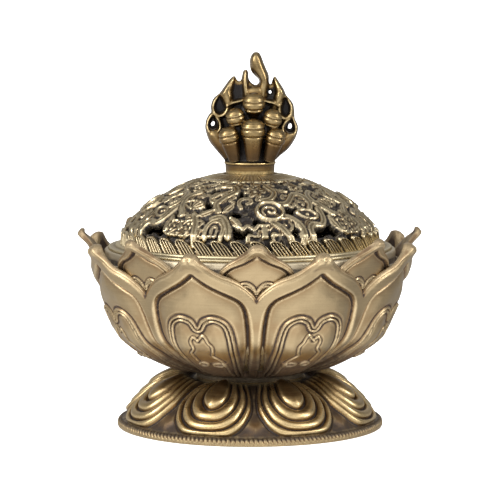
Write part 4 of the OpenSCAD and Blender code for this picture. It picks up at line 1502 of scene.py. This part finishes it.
def finial_dirt_and_shade(points):
    """Patina on the core between the jewels, patina and painted shade on the plate between the flames, and
    darker towards the seat.
    """
    x, y, z = points.T
    r, up = np.array(CORE).T
    over_core = np.hypot(x, y / CORE_DEPTH) - np.interp(z, up, r)
    between_jewels = (1 - ease(over_core, 0.4, 1.3)) * (z < 15)
    cell = 0.4
    across, above = np.arange(-FLAME_WIDE, FLAME_WIDE, cell), np.arange(-0.5, FINIAL_TOP - FINIAL_Z + 1, cell)
    depth = depth_in(*np.meshgrid(across, above, indexing="ij"), spline(FLAME_OUTLINE, 5, closed=True))
    coords = np.stack([(x - across[0]) / cell, (z - above[0]) / cell], axis=1)
    # Painted shade, with patina: the plate between the flames, which lies in their shadow
    between_flames = (1 - ease(np.abs(y), 0.85, 1.7)) * ease(sample(depth, coords, wrap=False), 0.4, 1.0)
    over_seat = 0.34 * (1 - ease(z + 0.25 * np.maximum(0, 6 - np.abs(x)), 1.5, 9.5))
    return np.maximum.reduce([0.6 * between_jewels, 0.5 * between_flames, over_seat])


def finial():
    core, core_faces = turned(CORE, 64)
    parts = [flames(), (core * (1.0, CORE_DEPTH, 1.0), core_faces)]
    for numbers in JEWELS:
        points, faces = jewel(*numbers)
        parts.append((points, faces))
        parts.append((points * (1, -1, 1), faces[:, ::-1]))
    turn = math.radians(CAMERA_TURN)
    c, s = math.cos(turn), math.sin(turn)
    spin = np.array([(c, s, 0), (-s, c, 0), (0, 0, 1)])
    parts = [(np.maximum(points, (-99, -99, 0)) @ spin + (0, 0, FINIAL_Z), faces) for points, faces in parts]
    piece = fused("finial_flames", parts, FINIAL_CELL)
    dirt_and_shade = finial_dirt_and_shade((points_mm(piece) - (0, 0, FINIAL_Z)) @ spin.T)
    far_passes = 2 * FAR_PASSES  # its cells are finer
    finish_piece(piece, "lid", FINIAL_BRASS, "finial", far_passes, dirt_and_shade)


def collar():
    low, high = box_mm("finial_collar")
    r, z, top = 5.75, low.z, high.z
    section = [
        (2.2, z), (r - 0.15, z), (r - 0.05, z + 0.15), (r - 0.05, z + 0.5), (r - 0.03, z + 1.0),
        (r + 0.05, top - 0.7), (r + 0.1, top - 0.55), (r + 0.25, top - 0.45), (r + 0.3, top - 0.3),
        (r + 0.25, top - 0.08), (r + 0.1, top), (2.2, top),
    ]
    segments = 128
    piece = lathe("finial_collar_turned", section, segments)
    darkening = 0.1 + 0.3 * (1 - ease(np.array(section)[:, 1], z + 0.1, z + 1.0))
    finish_piece(piece, "lid", COLLAR_BRASS, "finial_collar", dirt_and_shade=np.tile(darkening, segments))


finial()
collar()

# ---- stage, light and camera

def set_camera():
    data = bpy.data.cameras.new("camera")
    data.lens = CAMERA_LENS
    data.sensor_width = 36
    camera = bpy.data.objects.new("camera", data)
    turn = math.radians(CAMERA_TURN)
    camera.location = (
        CAMERA_DISTANCE * MM * math.sin(turn),
        -CAMERA_DISTANCE * MM * math.cos(turn),
        CAMERA_HEIGHT * MM,
    )
    camera.rotation_euler = (math.radians(90 + CAMERA_PITCH), 0, turn)
    bpy.context.scene.collection.objects.link(camera)
    bpy.context.scene.camera = camera


def glowing_material(name, colour, glow):
    n = Nodes(name)
    n.feed(n.shader, "Base Color", (*colour, 1))
    n.feed(n.shader, "Roughness", 0.85)
    n.feed(n.shader, "Emission Color", (1, 1, 1, 1))
    n.feed(n.shader, "Emission Strength", glow)
    return n.material


def set_floor():
    """A pale floor that bends up into a backdrop, lit evenly as in a studio."""
    half, depth, bend = 2600, 1500, 500
    turn = np.radians(np.linspace(0, 90, 16))
    line = [(-1600, 0), (depth, 0)]
    line += [(depth + bend * math.sin(t), bend - bend * math.cos(t)) for t in turn[1:]]
    line += [(depth + bend, 1800)]
    points = [(side * half, y, z) for y, z in line for side in (-1, 1)]
    faces = [(2 * k, 2 * k + 1, 2 * k + 3, 2 * k + 2) for k in range(len(line) - 1)]
    floor = make_mesh("floor", points, faces)
    floor.data.materials.append(glowing_material("floor", FLOOR_COLOUR, FLOOR_GLOW))
    floor.visible_glossy = False


def soft_light(name, place, size, watts):
    """A soft box aimed at the burner's middle."""
    data = bpy.data.lights.new(name, "AREA")
    data.shape = "RECTANGLE"
    data.size, data.size_y = size
    data.energy = watts
    light = bpy.data.objects.new(name, data)
    light.location = place
    light.rotation_euler = (Vector(LIGHT_AIM) - Vector(place)).to_track_quat("-Z", "Y").to_euler()
    bpy.context.scene.collection.objects.link(light)


def room_glow(tree, way, direction, full, gone, strength):
    """What a brighter part of the room adds to its light, for each direction."""
    toward = tree.nodes.new("ShaderNodeVectorMath")
    toward.operation = "DOT_PRODUCT"
    tree.links.new(way, toward.inputs[0])
    toward.inputs[1].default_value = Vector(direction).normalized()
    glow = tree.nodes.new("ShaderNodeMapRange")
    glow.interpolation_type = "SMOOTHSTEP"
    glow.inputs["From Min"].default_value = math.cos(math.radians(gone))
    glow.inputs["From Max"].default_value = math.cos(math.radians(full))
    glow.inputs["To Max"].default_value = strength
    tree.links.new(toward.outputs["Value"], glow.inputs["Value"])
    return glow.outputs["Result"]


def set_light():
    """A room that is brighter towards the table and the soft boxes, as the metal mirrors it."""
    world = bpy.data.worlds.new("world")
    world.use_nodes = True
    bpy.context.scene.world = world
    tree = world.node_tree
    way = tree.nodes.new("ShaderNodeTexCoord").outputs["Generated"]
    total = None
    for numbers in ROOM_GLOWS:
        glow = room_glow(tree, way, *numbers)
        both = tree.nodes.new("ShaderNodeMath")
        if total is None:
            both.inputs[0].default_value = ROOM_LIGHT
        else:
            tree.links.new(total, both.inputs[0])
        tree.links.new(glow, both.inputs[1])
        total = both.outputs[0]
    background = tree.nodes["Background"]
    background.inputs["Color"].default_value = (1, 1, 1, 1)
    tree.links.new(total, background.inputs["Strength"])
    for box in SOFT_BOXES:
        soft_light(*box)
    bpy.context.scene.view_settings.view_transform = "Standard"


set_camera()
set_floor()
set_light()

# ---- CAD nodes that stay in view


def dress(node, material):
    """Gives a CAD node its material."""
    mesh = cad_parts[node].data
    mesh.materials.clear()
    mesh.materials.append(material)


for node in ("foot_washer", "foot_screw", "finial_washer", "finial_screw"):
    dress(node, STEEL)
for node in ("incense_dish", "dish_feet", "incense_prongs"):
    dress(node, DISH_BRASS)
dress("lid_spigot", FLANGE_BRASS)
